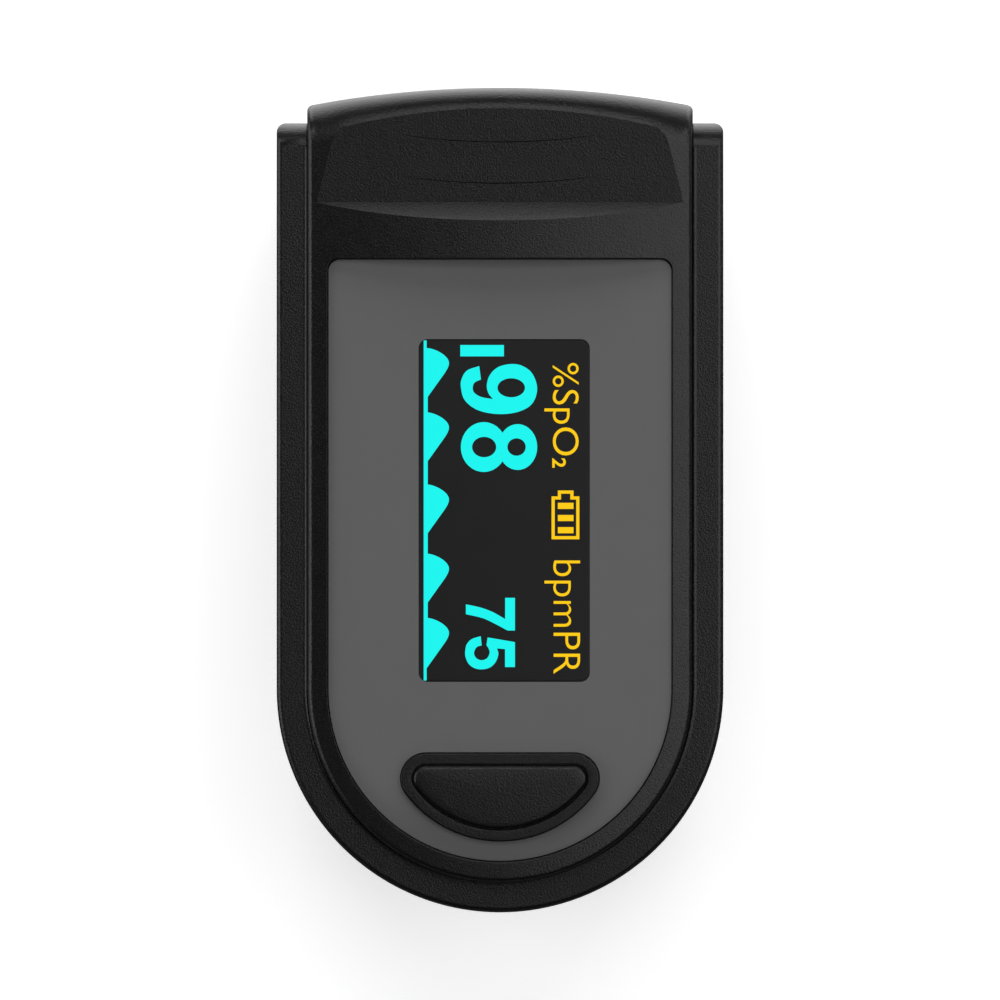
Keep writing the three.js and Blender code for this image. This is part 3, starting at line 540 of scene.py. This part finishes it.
def wedge(low):
    """What is cut from one half so that the squeeze ends can come together: the lower half's if low."""
    start, end = HIP["y"], 30.0
    if low:
        shape = [[start, LOWER_TOP], [end, HIP["low_z"]], [end, CLEAR], [start, CLEAR]]
    else:
        shape = [[start, UPPER_BOTTOM], [start, 0], [end, 0], [end, HIP["high_z"]]]
    return along_x("wedge", np.array(shape), -20, 20)


def build_cover():
    """The crowned cover: one skin from its wall over its top into the panel's pocket, then hollowed."""
    skirt_z = COVER_LOW[2] + 6.1  # underside of the cover's wall, except at the squeeze end
    foot_z = COVER_LOW[2] - 0.6  # of the uncut skin
    foot = cover_ring(90)
    foot[:, 2] = foot_z
    rings = [foot, *[cover_ring(tilt) for tilt in np.linspace(90, 0, 19)]]
    lip = pocket_ring(-POCKET_EDGE, 0)
    rings += [mixed(rings[-1], lip, t) for t in (0.25, 0.5, 0.75)]
    rings.append(lip)
    for a in np.radians(np.linspace(6, 90, 15)):
        rings.append(pocket_ring(-POCKET_EDGE * (1 - math.sin(a)), POCKET_EDGE * (1 - math.cos(a))))
    floor = pocket_ring(0, 0)
    floor[:, 2] = POCKET_FLOOR
    rings.append(floor)
    skin = Skin()
    skin.grid(rings)
    skin.face(rings[0][::-1])
    skin.face(rings[-1])
    cover = skin.make("cover")
    cut(cover, grip_cutter())
    # The crescent is where the grip's ramp meets the crown.
    crescent = lambda x, y, z: 19.5 < y < 21.2 and abs(x) < 12.4 and near(z, crown(x), 0.01)
    round_edges(cover, 0.42, crescent, segments=9, sharper_than=14)
    cut(cover, *[engraver(y) for y in GROOVES])
    inside = prism("inside", cover_outline(COVER_WALL), 0, PLATE_Z)
    skirts = block("skirts", (-20, -40, 0), (20, END_Y - 0.5, skirt_z))
    cut(cover, inside, skirts, wedge(low=False))
    join(cover, collar(), *[upright(SCREW["boss_r"], x, y, ROOF_Z + 0.2, PLATE_Z + 0.8) for x, y in SCREWS])
    board_top = node_box("main_board")[1][2]
    join(cover, *[upright(BOARD_POST["r"], x, y, board_top + 0.1, PLATE_Z + 0.5) for x, y in BOARD_SCREWS])
    cut(cover, *[upright(SCREW["pilot_r"], x, y, 20, PLATE_Z) for x, y in SCREWS])
    cut(cover, *[upright(BOARD_POST["pilot_r"], x, y, 20, PLATE_Z + 0.4) for x, y in BOARD_SCREWS])
    cut(cover, prism("button_way", button_outline(COLLAR_WALL), 20, CLEAR))
    cut(cover, prism("flange_way", button_outline(FLANGE_WAY["inset"]), 20, FLANGE_WAY["top_z"]))
    cut(cover, block("display_opening", *DISPLAY_OPENING))
    return cover


def housing_outline(corner):
    """Both housings' outline as a function of the inset, with this radius at the corners of the flat end."""
    return lambda inset: horseshoe(HALF - inset, END_Y - inset, max(corner - inset, 0.02))


def on_outside(x, y):
    """True on the outer wall of either housing."""
    if y < ROUND_Y:
        return near(math.hypot(x, y - ROUND_Y), HALF)
    return near(abs(x), HALF) or near(y, END_Y)


def pad_cutter(back_z, end_y):
    """The room for a finger pad, from the finger end to end_y."""
    return along_y("pad_cutter", pad_room(back_z), FRONT_Y - 2, end_y)


def seam_bead(inside):
    """A low bead along the rim's inner edge, which fades out round the finger end."""
    wide, high, root = 0.24, 0.08, -4
    rings = []
    for out, up in [(0, root), *[(t, (1 - t) ** 2) for t in np.linspace(0, 0.9, 7)], (1, root)]:
        flat = horseshoe(inside + wide * out, END_Y - RIM_ROUND - 0.1)
        fade = np.clip((flat[:, 1] - ROUND_Y) / HALF + 1, 0.2, 1) if up > 0 else 1
        rings.append(raised(flat, RIM_Z + high * up * fade))
    skin = Skin()
    skin.grid(rings + rings[:1])
    return cut(skin.make("seam_bead"), block("open", (-inside, ROUND_Y, 0), (inside, CLEAR, CLEAR)))


def hinge_lug(side):
    """A round-ended plate with the hinge pin's hole, hanging from the upper housing's floor."""
    x0, x1 = sorted((side * LUG["in"], side * LUG["out"]))
    lug = along_x("lug", arc(HINGE_Y, HINGE_Z, LUG["r"], 0, 360, 48)[:-1], x0, x1)
    join(lug, block("web", (x0, HINGE_Y - LUG["r"], HINGE_Z), (x1, HINGE_Y + LUG["r"], LUG["root_z"])))
    hole = arc(HINGE_Y, HINGE_Z, LUG["hole_r"], 0, 360, 32)[:-1]
    return cut(lug, along_x("pin_hole", hole, x0 - 1, x1 + 1))


def build_upper_housing():
    """The outer shell with its rim, the floor over the finger pad, and the hinge lugs."""
    inside, roof = COVER_HALF + COVER_GAP, ROOF_Z
    profile = [*bend(0.2, UPPER_BOTTOM, up=-1), *bend(0.4, RIM_Z, steps=10)]
    body = shell("upper_housing_hero", housing_outline(0.7), profile)
    well = prism("well", horseshoe(inside, CLEAR, 0.5), roof, CLEAR)
    open_end = block("open_end", (-inside, END_Y - 0.7, 0), (inside, CLEAR, CLEAR))
    cut(body, well, open_end)
    round_y, round_z = END_Y - RIM_ROUND, RIM_Z - RIM_ROUND
    past = [[round_y, CLEAR], [CLEAR, CLEAR], [CLEAR, round_z]]
    roll = np.concatenate([arc(round_y, round_z, RIM_ROUND, 0, 90, 18), past])
    cut(body, along_x("roll", roll, -20, 20))
    cut(body, pad_cutter(PAD_TOP_HIGH[2], PAD_HIGH[1] + FIT), wedge(low=False))
    mouth = lambda x, y, z: y < ROUND_Y - 5 and on_outside(x, y) and z < PAD_TOP_HIGH[2] + 0.5
    round_edges(body, 0.25, mouth, segments=3, sharper_than=30)
    slope = lambda x, y, z: y > 12.2 and on_outside(x, y) and z < 21.6
    round_edges(body, 0.25, slope, segments=3, sharper_than=50)
    hinge = block("hinge_pocket", (-11.5, 7.9, 0), (11.5, 15.3, 22.5))
    rear = block("rear_pocket", (-10.6, 17, 22.4), (10.6, 24.5, 30))
    ways = [block("leg_way", (x, 14.5, 0), (x + 1.5, 20.2, 21.6)) for x in (6.4, -7.9)]
    floor_end = prism("floor_end", cover_outline(COVER_WALL + FIT), UPPER_BOTTOM, roof)
    keep = block("keep", (-20, END_Y - 3, 0), (20, CLEAR, CLEAR))
    combine(floor_end, [keep], "INTERSECT")
    join(body, cut(floor_end, wedge(low=False)), seam_bead(inside))
    cut(body, hinge, rear, *ways)
    x, y, _ = middle("light_emitter")
    cut(body, block("emitter_hole", (x - 2.2, y - 2.2, 22), (x + 2.2, y + 2.2, 30)))
    cut(body, block("cable_way", (-2.6, HINGE_Y + 2.3, 20), (2.6, HINGE_Y + 3.7, 30)))
    cut(body, *[block("side_pocket", (x, -5, 19.9), (x + 2.5, 6, 30)) for x in (10.9, -13.4)])
    for x, y in SCREWS:
        seat_z = 21.4 if y > 0 else 20.4
        cut(body, upright(SCREW["hole_r"], x, y, 17, 30), upright(SCREW["head_r"], x, y, 0, seat_z))
    return join(body, hinge_lug(1), hinge_lug(-1))


def build_lower_housing():
    """The battery side's shell with the door's way and grooves, the screw bosses and the cord's eyelet."""
    wall, floor = 1.5, 1.8
    profile = [*bend(3.0, 0, up=-1, steps=12), *bend(0.2, LOWER_TOP)]
    body = shell("lower_housing_hero", housing_outline(3.4), profile)
    cavity = prism("cavity", horseshoe(HALF - wall, END_Y - wall, 1.9), floor, CLEAR)
    half, groove = DOOR_HIGH[0] - 0.65, DOOR_HIGH[0] + 0.15
    cut(body, cavity, pad_cutter(PAD_LOW[2], ROUND_Y), wedge(low=True))
    mouth = lambda x, y, z: y < ROUND_Y - 5 and on_outside(x, y) and z > PAD_LOW[2] - 0.5
    round_edges(body, 0.25, mouth, segments=3, sharper_than=30)
    slope = lambda x, y, z: y > 12.2 and on_outside(x, y) and z > 13.2
    round_edges(body, 0.25, slope, segments=3, sharper_than=50)
    cut(
        body,
        block("door_way", (-half, DOOR_LOW[1] - FIT, -1), (half, CLEAR, floor + 0.05)),
        block("lip_way", (-half, END_Y - 1.55, -1), (half, CLEAR, 3.25)),
        block("door_groove", (-groove, -14, 0.65), (groove, CLEAR, 1.5)),
        block("eyelet", (13, 23.6, 6), (17, 25.2, 8.4)),
        block("eyelet", (11.6, 25, 6), (13.2, 28, 8.4)),
    )
    roof = node_box("lower_inner_cover")[0][2]
    join(body, *[upright(SCREW["boss_r"], x, y, floor - 0.2, roof - FIT) for x, y in SCREWS])
    return cut(body, *[upright(0.9, x, y, 6.2, roof) for x, y in SCREWS])


# ---------------------------------------------------------------- the pieces
def place_cad_nodes():
    """The CAD nodes that show as they are: smooth where they are round, and each with its own material."""
    looks = {
        "lower_inner_cover": HOUSING, "lower_finger_pad": SILICONE, "upper_finger_pad": SILICONE,
        "battery_1": JACKET, "battery_2": JACKET, "bridge_contact": NICKEL, "bridge_spring": NICKEL,
        "bridge_button": NICKEL, "positive_contact": NICKEL, "negative_contact": NICKEL,
        "negative_spring": NICKEL, "sensor_board": BOARD, "photodiode": CHIP, "sensor_window": LENS,
        "hinge_pin": STEEL, "torsion_spring_right": SPRING, "torsion_spring_left": SPRING,
        "positive_lead": RED, "negative_lead": BLACK, "flex_cable": POLYIMIDE, "switch_body": STEEL,
        "main_board": BOARD, "display_glass": GLASS, "display_cushion": FOAM, "display_ribbon": POLYIMIDE,
        "processor_chip": CHIP, "front_end_chip": CHIP, "power_inductor": CHIP, "clock_crystal": STEEL,
        "capacitor_1": CERAMIC, "capacitor_2": CERAMIC, "flex_connector": CERAMIC, "emitter_board": BOARD,
        "light_emitter": CERAMIC, "emitter_window": LENS, "switch_plunger": CHIP, "battery_door": HOUSING,
        "upper_housing": HOUSING, "lower_housing": HOUSING, "top_cover": COVER, "front_panel": PANEL,
        "display_window": SMOKED, "power_button": HOUSING,
    }
    for name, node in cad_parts.items():
        node.data.materials.clear()
        node.data.materials.append(looks.get(name, STEEL))
        node.data.polygons.foreach_set("use_smooth", [True] * len(node.data.polygons))
        weld = node.modifiers.new("weld", "WELD")
        weld.merge_threshold = 1e-6
        split = node.modifiers.new("sharp edges", "EDGE_SPLIT")
        split.split_angle = math.radians(35)


# ---------------------------------------------------------------- what the display shows
PRINT_LOW, PRINT_HIGH = WINDOW_HIGH[2] - 0.01, WINDOW_HIGH[2] + 0.02


def reading(name, words, x, y, weight):
    """Words read from +Y to -Y with their tops towards +X, fitted into ranges of x and y.
    A weight above 0 thickens the lines."""
    curve = bpy.data.curves.new(name, "FONT")
    curve.body, curve.extrude, curve.resolution_u, curve.offset = words, 0.01, 6, weight
    text = bpy.data.objects.new(name, curve)
    bpy.context.scene.collection.objects.link(text)
    mesh = bpy.data.meshes.new_from_object(text.evaluated_get(bpy.context.evaluated_depsgraph_get()))
    bpy.data.objects.remove(text)
    bpy.data.curves.remove(curve)
    co = np.array([v.co for v in mesh.vertices])
    across, up, over = ((co - co.min(0)) / (co.max(0) - co.min(0))).T
    z = PRINT_LOW + (PRINT_HIGH - PRINT_LOW) * over
    placed = np.stack([x[0] + (x[1] - x[0]) * up, y[0] + (y[1] - y[0]) * across, z], 1)
    mesh.vertices.foreach_set("co", placed.astype(np.float32).ravel())
    tidy = bmesh.new()
    tidy.from_mesh(mesh)
    bmesh.ops.remove_doubles(tidy, verts=tidy.verts, dist=1e-4)
    bmesh.ops.recalc_face_normals(tidy, faces=tidy.faces)
    tidy.to_mesh(mesh)
    tidy.free()
    obj = bpy.data.objects.new(name, mesh)
    bpy.context.scene.collection.objects.link(obj)
    return obj


def ellipse(u, v, ru, rv, start=0, end=360):
    """A run of points along an ellipse, which stops short of a full turn's end."""
    points = np.array([u, v]) + arc(0, 0, 1, start, end, 40) * [ru, rv]
    return points[:-1] if end - start == 360 else points


# Each digit in a box from (0, 0) to (1, 1): its outline as runs that are each drawn smooth, and its holes.
DIGITS = {
    "9": (
        [
            [(0.04, 0.24), (0.13, 0.08), (0.3, 0.01), (0.46, 0.0), (0.72, 0.05), (0.92, 0.22), (1.0, 0.48),
             (0.96, 0.74), (0.8, 0.93), (0.5, 1.0), (0.2, 0.94), (0.04, 0.81), (0.0, 0.66), (0.06, 0.49),
             (0.22, 0.38), (0.42, 0.34), (0.58, 0.36), (0.7, 0.42)],
            [(0.7, 0.42), (0.66, 0.27), (0.58, 0.18), (0.48, 0.155), (0.37, 0.18), (0.31, 0.264)],
        ],
        [ellipse(0.475, 0.66, 0.19, 0.18)],
    ),
    "8": (
        [
            ellipse(0.5, 0.3, 0.5, 0.3, 54.7, -234.7),
            ellipse(0.5, 0.745, 0.46, 0.255, 231.6, -51.6),
        ],
        [ellipse(0.5, 0.305, 0.205, 0.158), ellipse(0.5, 0.73, 0.175, 0.12)],
    ),
    "7": (
        [
            [(0.0, 1.0), (1.0, 1.0)],
            [(1.0, 0.85), (0.8, 0.6), (0.62, 0.34), (0.5, 0.0)],
            [(0.2, 0.0), (0.29, 0.28), (0.43, 0.54), (0.65, 0.8)],
            [(0.65, 0.8), (0.0, 0.8)],
        ],
        [],
    ),
    "5": (
        [
            [(0.18, 1.0), (0.93, 1.0)],
            [(0.93, 0.8), (0.39, 0.8)],
            [(0.37, 0.64), (0.55, 0.665), (0.78, 0.61), (0.94, 0.5), (1.0, 0.34), (0.96, 0.18), (0.82, 0.06),
             (0.6, 0.0), (0.42, 0.0), (0.24, 0.03), (0.09, 0.13), (0.0, 0.31)],
            [(0.28, 0.33), (0.33, 0.23), (0.5, 0.175), (0.66, 0.22), (0.725, 0.33), (0.66, 0.44), (0.5, 0.49),
             (0.36, 0.465), (0.27, 0.425)],
            [(0.04, 0.45), (0.18, 1.0)],
        ],
        [],
    ),
}


def digit(name, which, x, y):
    """A digit read from +Y to -Y with its top towards +X, fitted into ranges of x and y."""
    runs, holes = DIGITS[which]
    outline = np.concatenate([smooth_line(run, 6 if len(run) > 2 else 1) for run in runs])
    flat = lambda p: np.stack([x[0] + (x[1] - x[0]) * p[:, 1], y[0] + (y[1] - y[0]) * p[:, 0]], 1)
    made = prism(name, flat(outline), PRINT_LOW, PRINT_HIGH)
    return cut(made, *[prism("hole", flat(hole), PRINT_LOW - 1, PRINT_HIGH + 1) for hole in holes])


def patch(name, x0, y0, x1, y1):
    return block(name, (min(x0, x1), min(y0, y1), PRINT_LOW), (max(x0, x1), max(y0, y1), PRINT_HIGH))


def pulse_wave():
    """The pulse along the display's edge: a base line with five waves that rise fast and fall slowly."""
    low, line, base, height = -5.46, -5.25, -5.17, 1.52
    ends = WINDOW_LOW[1] + 0.02, WINDOW_HIGH[1] - 0.02
    starts = [10.87, 6.27, 1.11, -3.84, -8.44]
    edge = [(line, ends[1]), (line, starts[0])]
    for start in starts:
        for a in np.radians(np.linspace(0, 90, 13)):
            edge.append((base + height * math.sin(a), start - 1.07 * (1 - math.cos(a)) ** 0.75))
        edge += [(base + 1.5, start - 1.24), (base + 1.42, start - 1.45), (base + 1.25, start - 1.74)]
        edge.append((base, start - 3.49))
    edge += [(line, starts[-1] - 3.6), (line, ends[0])]
    outline = [(low, ends[0]), *reversed(edge), (low, ends[1])]
    return prism("pulse_wave", np.array(outline), PRINT_LOW, PRINT_HIGH)


def battery_symbol():
    """A cell with three bars of charge."""
    x0, x1, top, bottom, line = 3.69, 5.68, 0.26, -2.81, 0.227
    nub0, nub1, nub_top = 4.14, 5.26, 0.68
    outline = lambda inset: np.array([
        (x0 + inset, bottom + inset), (x1 - inset, bottom + inset), (x1 - inset, top - inset),
        (nub1 - inset, top - inset), (nub1 - inset, nub_top - inset), (nub0 + inset, nub_top - inset),
        (nub0 + inset, top - inset), (x0 + inset, top - inset),
    ])
    inside = prism("symbol_inside", outline(line), PRINT_LOW - 1, PRINT_HIGH + 1)
    symbol = cut(prism("battery_symbol", outline(0), PRINT_LOW, PRINT_HIGH), inside)
    bars = [patch("bar", nub0, -0.2 - 0.87 * i, nub1, -0.64 - 0.87 * i) for i in range(3)]
    return merge(symbol, bars)


def merge(obj, others):
    """One object holding several closed shapes."""
    whole = bmesh.new()
    for part in [obj, *others]:
        whole.from_mesh(part.data)
    whole.to_mesh(obj.data)
    whole.free()
    for other in others:
        bpy.data.objects.remove(other)
    return obj


def show_display():
    digits = [
        ("oxygen_9", "9", (-2.80, 2.66), (9.73, 6.15)),
        ("oxygen_8", "8", (-2.80, 2.66), (5.57, 2.01)),
        ("pulse_7", "7", (-2.44, 1.07), (-7.00, -9.34)),
        ("pulse_5", "5", (-2.48, 1.07), (-9.74, -12.12)),
    ]
    for name, which, x, y in digits:
        piece(digit(name, which, x, y), name, "upper", CYAN)
    units = [
        ("oxygen_unit", "%SpO", (3.18, 5.63), (9.81, 3.19), -0.006),
        ("oxygen_unit_2", "2", (3.74, 4.71), (3.0, 2.31), 0.02),
        ("pulse_unit", "bpmPR", (3.18, 5.73), (-4.33, -12.44), -0.01),
    ]
    for name, words, x, y, weight in units:
        piece(reading(name, words, x, y, weight), name, "upper", YELLOW)
    piece(pulse_wave(), "pulse_wave", "upper", CYAN)
    piece(patch("pulse_bar", -2.84, 11.09, 0.28, 10.28), "pulse_bar", "upper", CYAN)
    piece(battery_symbol(), "battery_symbol", "upper", YELLOW)


# ---------------------------------------------------------------- panel, window, button, springs and cable
def build_panel():
    outline = lambda inset: horseshoe(PANEL_HIGH[0] - inset, PANEL_HIGH[1] - inset, 0.85 - inset)
    panel = shell("panel", outline, [(0, PANEL_LOW[2]), *bend(0.05, PANEL_HIGH[2], steps=3)])
    gap = 0.08
    low = [WINDOW_LOW[0] - gap, WINDOW_LOW[1] - gap]
    high = [WINDOW_HIGH[0] + gap, WINDOW_HIGH[1] + gap]
    hole = prism("window_hole", rounded_box(low, high, WINDOW_CORNER), 0, CLEAR)
    return cut(panel, hole, prism("collar_hole", button_outline(-0.08), 0, CLEAR))


def build_window():
    def outline(inset):
        low = [v + inset for v in WINDOW_LOW[:2]]
        high = [v - inset for v in WINDOW_HIGH[:2]]
        return rounded_box(low, high, WINDOW_CORNER - inset)

    return shell("window", outline, [(0, WINDOW_LOW[2]), *bend(0.04, WINDOW_HIGH[2], steps=3)])


def build_button():
    """The key: a D with a rounded edge and a slightly domed top, on a flange that holds it in."""
    top, edge, dome = CAP_HIGH[2], 0.24, 0.06
    flange, flange_z = FLANGE_WAY["inset"] + 0.1, FLANGE_WAY["top_z"] - 0.1
    profile = [(flange, CAP_LOW[2]), (flange, flange_z), (0.9, flange_z), *bend(edge, top - dome, inset=0.88)]
    skin = Skin()
    rings = [raised(button_outline(inset), z) for inset, z in profile]
    flat = rings[-1]
    centre = flat.mean(0)
    for share in (0.85, 0.65, 0.4, 0.15):
        ring = centre + (flat - centre) * share
        ring[:, 2] = top - dome * share**2
        rings.append(ring)
    skin.grid(rings)
    skin.face(rings[0][::-1])
    skin.face(rings[-1])
    return skin.make("button")


def tube(name, path, r, sides=12):
    """A round wire along a path of points close together."""
    path = np.array(path, float)
    ahead = np.gradient(path, axis=0)
    ahead /= np.linalg.norm(ahead, axis=1)[:, None]
    side = np.cross(ahead[0], (1.0, 0.0, 0.0))
    rows = []
    for point, t in zip(path, ahead):
        side = side - t * side.dot(t)
        side /= np.linalg.norm(side)
        other = np.cross(t, side)
        angles = 2 * np.pi * np.arange(sides) / sides
        rows.append(point + r * (np.outer(np.cos(angles), side) + np.outer(np.sin(angles), other)))
    skin = Skin()
    skin.grid(rows)
    skin.face(rows[0])
    skin.face(rows[-1][::-1])
    return skin.make(name)


def torsion_spring(side):
    """A coil round the hinge pin. Its first leg presses on the lower half, and its last leg on the upper."""
    r, turns, pitch, wire = 2.45, 3.5, 1.15, 0.85
    start, leg_y = 2.7 + wire / 2, 19.3
    lower_slope, upper_slope = 0.0125, 0.025
    coil = []
    for t in np.linspace(0, 1, 150):
        x, a = side * (start + pitch * turns * t), -math.pi / 2 - 2 * math.pi * turns * t
        coil.append((x, HINGE_Y + r * math.cos(a), HINGE_Z + r * math.sin(a)))
    first, last = coil[0], coil[-1]
    away = np.linspace(HINGE_Y, leg_y, 13)[1:]
    lower_leg = [(first[0], y, first[2] - lower_slope * (y - HINGE_Y)) for y in away[::-1]]
    upper_leg = [(last[0], y, last[2] - upper_slope * (y - HINGE_Y)) for y in away]
    return tube("spring", [*lower_leg, *coil, *upper_leg], wire / 2)


def flat_cable():
    """A flat cable with rounded edges, from the sensor board past the hinge to the main board."""
    half_width, half_thickness, r = 1.9, 0.11, 0.08
    line = [(-1.85, 13.12), (2, 13.12), (6, 13.15), (9.5, 13.5), (12.5, 14.85), (14.3, 16.6)]
    line += [(14.15, 18.5), (14.4, 20.6), (14.5, 22.6), (14.5, 24.4), (14.5, 25.5)]
    run = smooth_line(line, 6)
    ahead = np.gradient(run, axis=0)
    ahead /= np.linalg.norm(ahead, axis=1)[:, None]
    out = np.stack([-ahead[:, 1], ahead[:, 0]], 1) * half_thickness
    edge = half_width - r
    lower_side = [(-half_width, -0.3), (-edge, -1), (0, -1), (edge, -1), (half_width, -0.3)]
    section = [*lower_side, *[(x, -u) for x, u in reversed(lower_side)]]
    rows = [[(x, *(point + n * u)) for x, u in section] for point, n in zip(run, out)]
    skin = Skin()
    skin.grid(rows)
    skin.face(rows[0])
    skin.face(rows[-1][::-1])
    return skin.make("cable")


# ---------------------------------------------------------------- the whole object
place_cad_nodes()
piece(build_cover(), "top_cover_hero", "upper", COVER, ["top_cover"], sharp=7.5)
piece(build_upper_housing(), "upper_housing_hero", "upper", HOUSING, ["upper_housing"])
piece(build_lower_housing(), "lower_housing_hero", "lower", HOUSING, ["lower_housing"])
piece(build_panel(), "front_panel_hero", "upper", PANEL, ["front_panel"])
piece(build_window(), "display_window_hero", "upper", SMOKED, ["display_window"])
piece(build_button(), "power_button_hero", "button", HOUSING, ["power_button"])
show_display()
for side, word in ((1, "right"), (-1, "left")):
    name = f"torsion_spring_{word}"
    spring = piece(torsion_spring(side), name + "_hero", None, SPRING, [name])
    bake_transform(spring)
cable = piece(flat_cable(), "flex_cable_hero", None, POLYIMIDE, ["flex_cable"])
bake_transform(cable)


# ---------------------------------------------------------------- floor, light and camera
def area_light(name, place, target, size, power, mirrored=True):
    """A soft lamp. One that isn't mirrored lights the object without showing as a highlight on it."""
    data = bpy.data.lights.new(name, "AREA")
    data.shape, data.size, data.size_y = "RECTANGLE", size[0], size[1]
    data.energy = power
    lamp = bpy.data.objects.new(name, data)
    lamp.location = place
    lamp.rotation_euler = (Vector(target) - Vector(place)).to_track_quat("-Z", "Y").to_euler()
    lamp.visible_camera = False
    lamp.visible_glossy = mirrored
    bpy.context.scene.collection.objects.link(lamp)


FLOOR_HALF, FLOOR_Z = 3.0, -0.0001  # just under the housing's flat bottom, so that the two don't flicker
floor_corners = [(x * FLOOR_HALF, y * FLOOR_HALF, FLOOR_Z) for x, y in ((-1, -1), (1, -1), (1, 1), (-1, 1))]
floor_mesh = bpy.data.meshes.new("floor")
floor_mesh.from_pydata(floor_corners, [], [(0, 1, 2, 3)])
floor = bpy.data.objects.new("floor", floor_mesh)
bpy.context.scene.collection.objects.link(floor)
floor_look = finish("pale_floor", (250, 250, 250), 0.8, grain=0.002, size=2.0)
floor_shader = floor_look.node_tree.nodes["Principled BSDF"]
floor_shader.inputs["Emission Color"].default_value = (1, 1, 1, 1)
floor_shader.inputs["Emission Strength"].default_value = 0.5
floor_mesh.materials.append(floor_look)
floor.visible_shadow = False

# Dark cards on the floor in front and at the sides, which show only as dark edges on the object.
flag_mesh = bpy.data.meshes.new("dark_card")
side_x, side_y, front_y, reach, above_floor = 0.0195, 0.039, -0.045, 0.35, 0.0003
left, right = (-reach, front_y, -side_x, side_y), (side_x, front_y, reach, side_y)
corners = []
for x0, y0, x1, y1 in (left, right, (-reach, -reach, reach, front_y)):
    corners += [(x0, y0, above_floor), (x1, y0, above_floor), (x1, y1, above_floor), (x0, y1, above_floor)]
flag_mesh.from_pydata(corners, [], [tuple(range(4 * i, 4 * i + 4)) for i in range(3)])
flag = bpy.data.objects.new("dark_card", flag_mesh)
bpy.context.scene.collection.objects.link(flag)
flag_mesh.materials.append(FOAM)
flag_mesh.materials.append(finish("grey_card", (90, 90, 90), 0.9))
flag_mesh.polygons[2].material_index = 1
flag.visible_camera = flag.visible_shadow = flag.visible_diffuse = False

MIDDLE = (0, 0, 0.03)
area_light("overhead", (0.0, 0.72, 0.22), MIDDLE, (1.0, 0.42), 5.3, mirrored=False)
area_light("front", (0.0, -0.6, 0.35), MIDDLE, (1.0, 0.3), 0.6, mirrored=False)
area_light("fill", (0.0, -0.05, 0.62), MIDDLE, (0.3, 0.3), 0.45, mirrored=False)
area_light("above", (0.0, -0.02, 0.62), MIDDLE, (0.1, 0.1), 0.018)
area_light("back_low", (0.0, 0.3, 0.001), (0.0, 0.3, 1.0), (1.0, 0.5), 2.4)
area_light("horizon_back", (0.0, 0.6, 0.1), MIDDLE, (1.0, 0.22), 1.0)
area_light("back_card", (0.03, 0.28, 0.56), MIDDLE, (0.4, 0.17), 0.52)
area_light("right_card", (0.32, 0.03, 0.52), MIDDLE, (0.34, 0.5), 0.75)
area_light("left_card", (-0.54, 0.05, 0.28), MIDDLE, (0.5, 0.4), 1.1)

world = bpy.data.worlds.new("studio")
world.use_nodes = True
nodes, links = world.node_tree.nodes, world.node_tree.links
room = nodes["Background"]
room.inputs["Color"].default_value = (1, 1, 1, 1)
room.inputs["Strength"].default_value = 0.015
backdrop = nodes.new("ShaderNodeBackground")
backdrop.inputs["Color"].default_value = (1, 1, 1, 1)
rays, choose = nodes.new("ShaderNodeLightPath"), nodes.new("ShaderNodeMixShader")
links.new(rays.outputs["Is Camera Ray"], choose.inputs[0])
links.new(room.outputs[0], choose.inputs[1])
links.new(backdrop.outputs[0], choose.inputs[2])
links.new(choose.outputs[0], nodes["World Output"].inputs["Surface"])
scene = bpy.context.scene
scene.world = world
scene.view_settings.view_transform = "Standard"

CAMERA_HEIGHT = 0.63  # over the floor, looking straight down as in the photo
camera_data = bpy.data.cameras.new("camera")
camera_data.sensor_width, camera_data.lens, camera_data.clip_end = 36, 301.5, 20
camera = bpy.data.objects.new("camera", camera_data)
camera.location = (0, 0, CAMERA_HEIGHT)
scene.collection.objects.link(camera)
scene.camera = camera
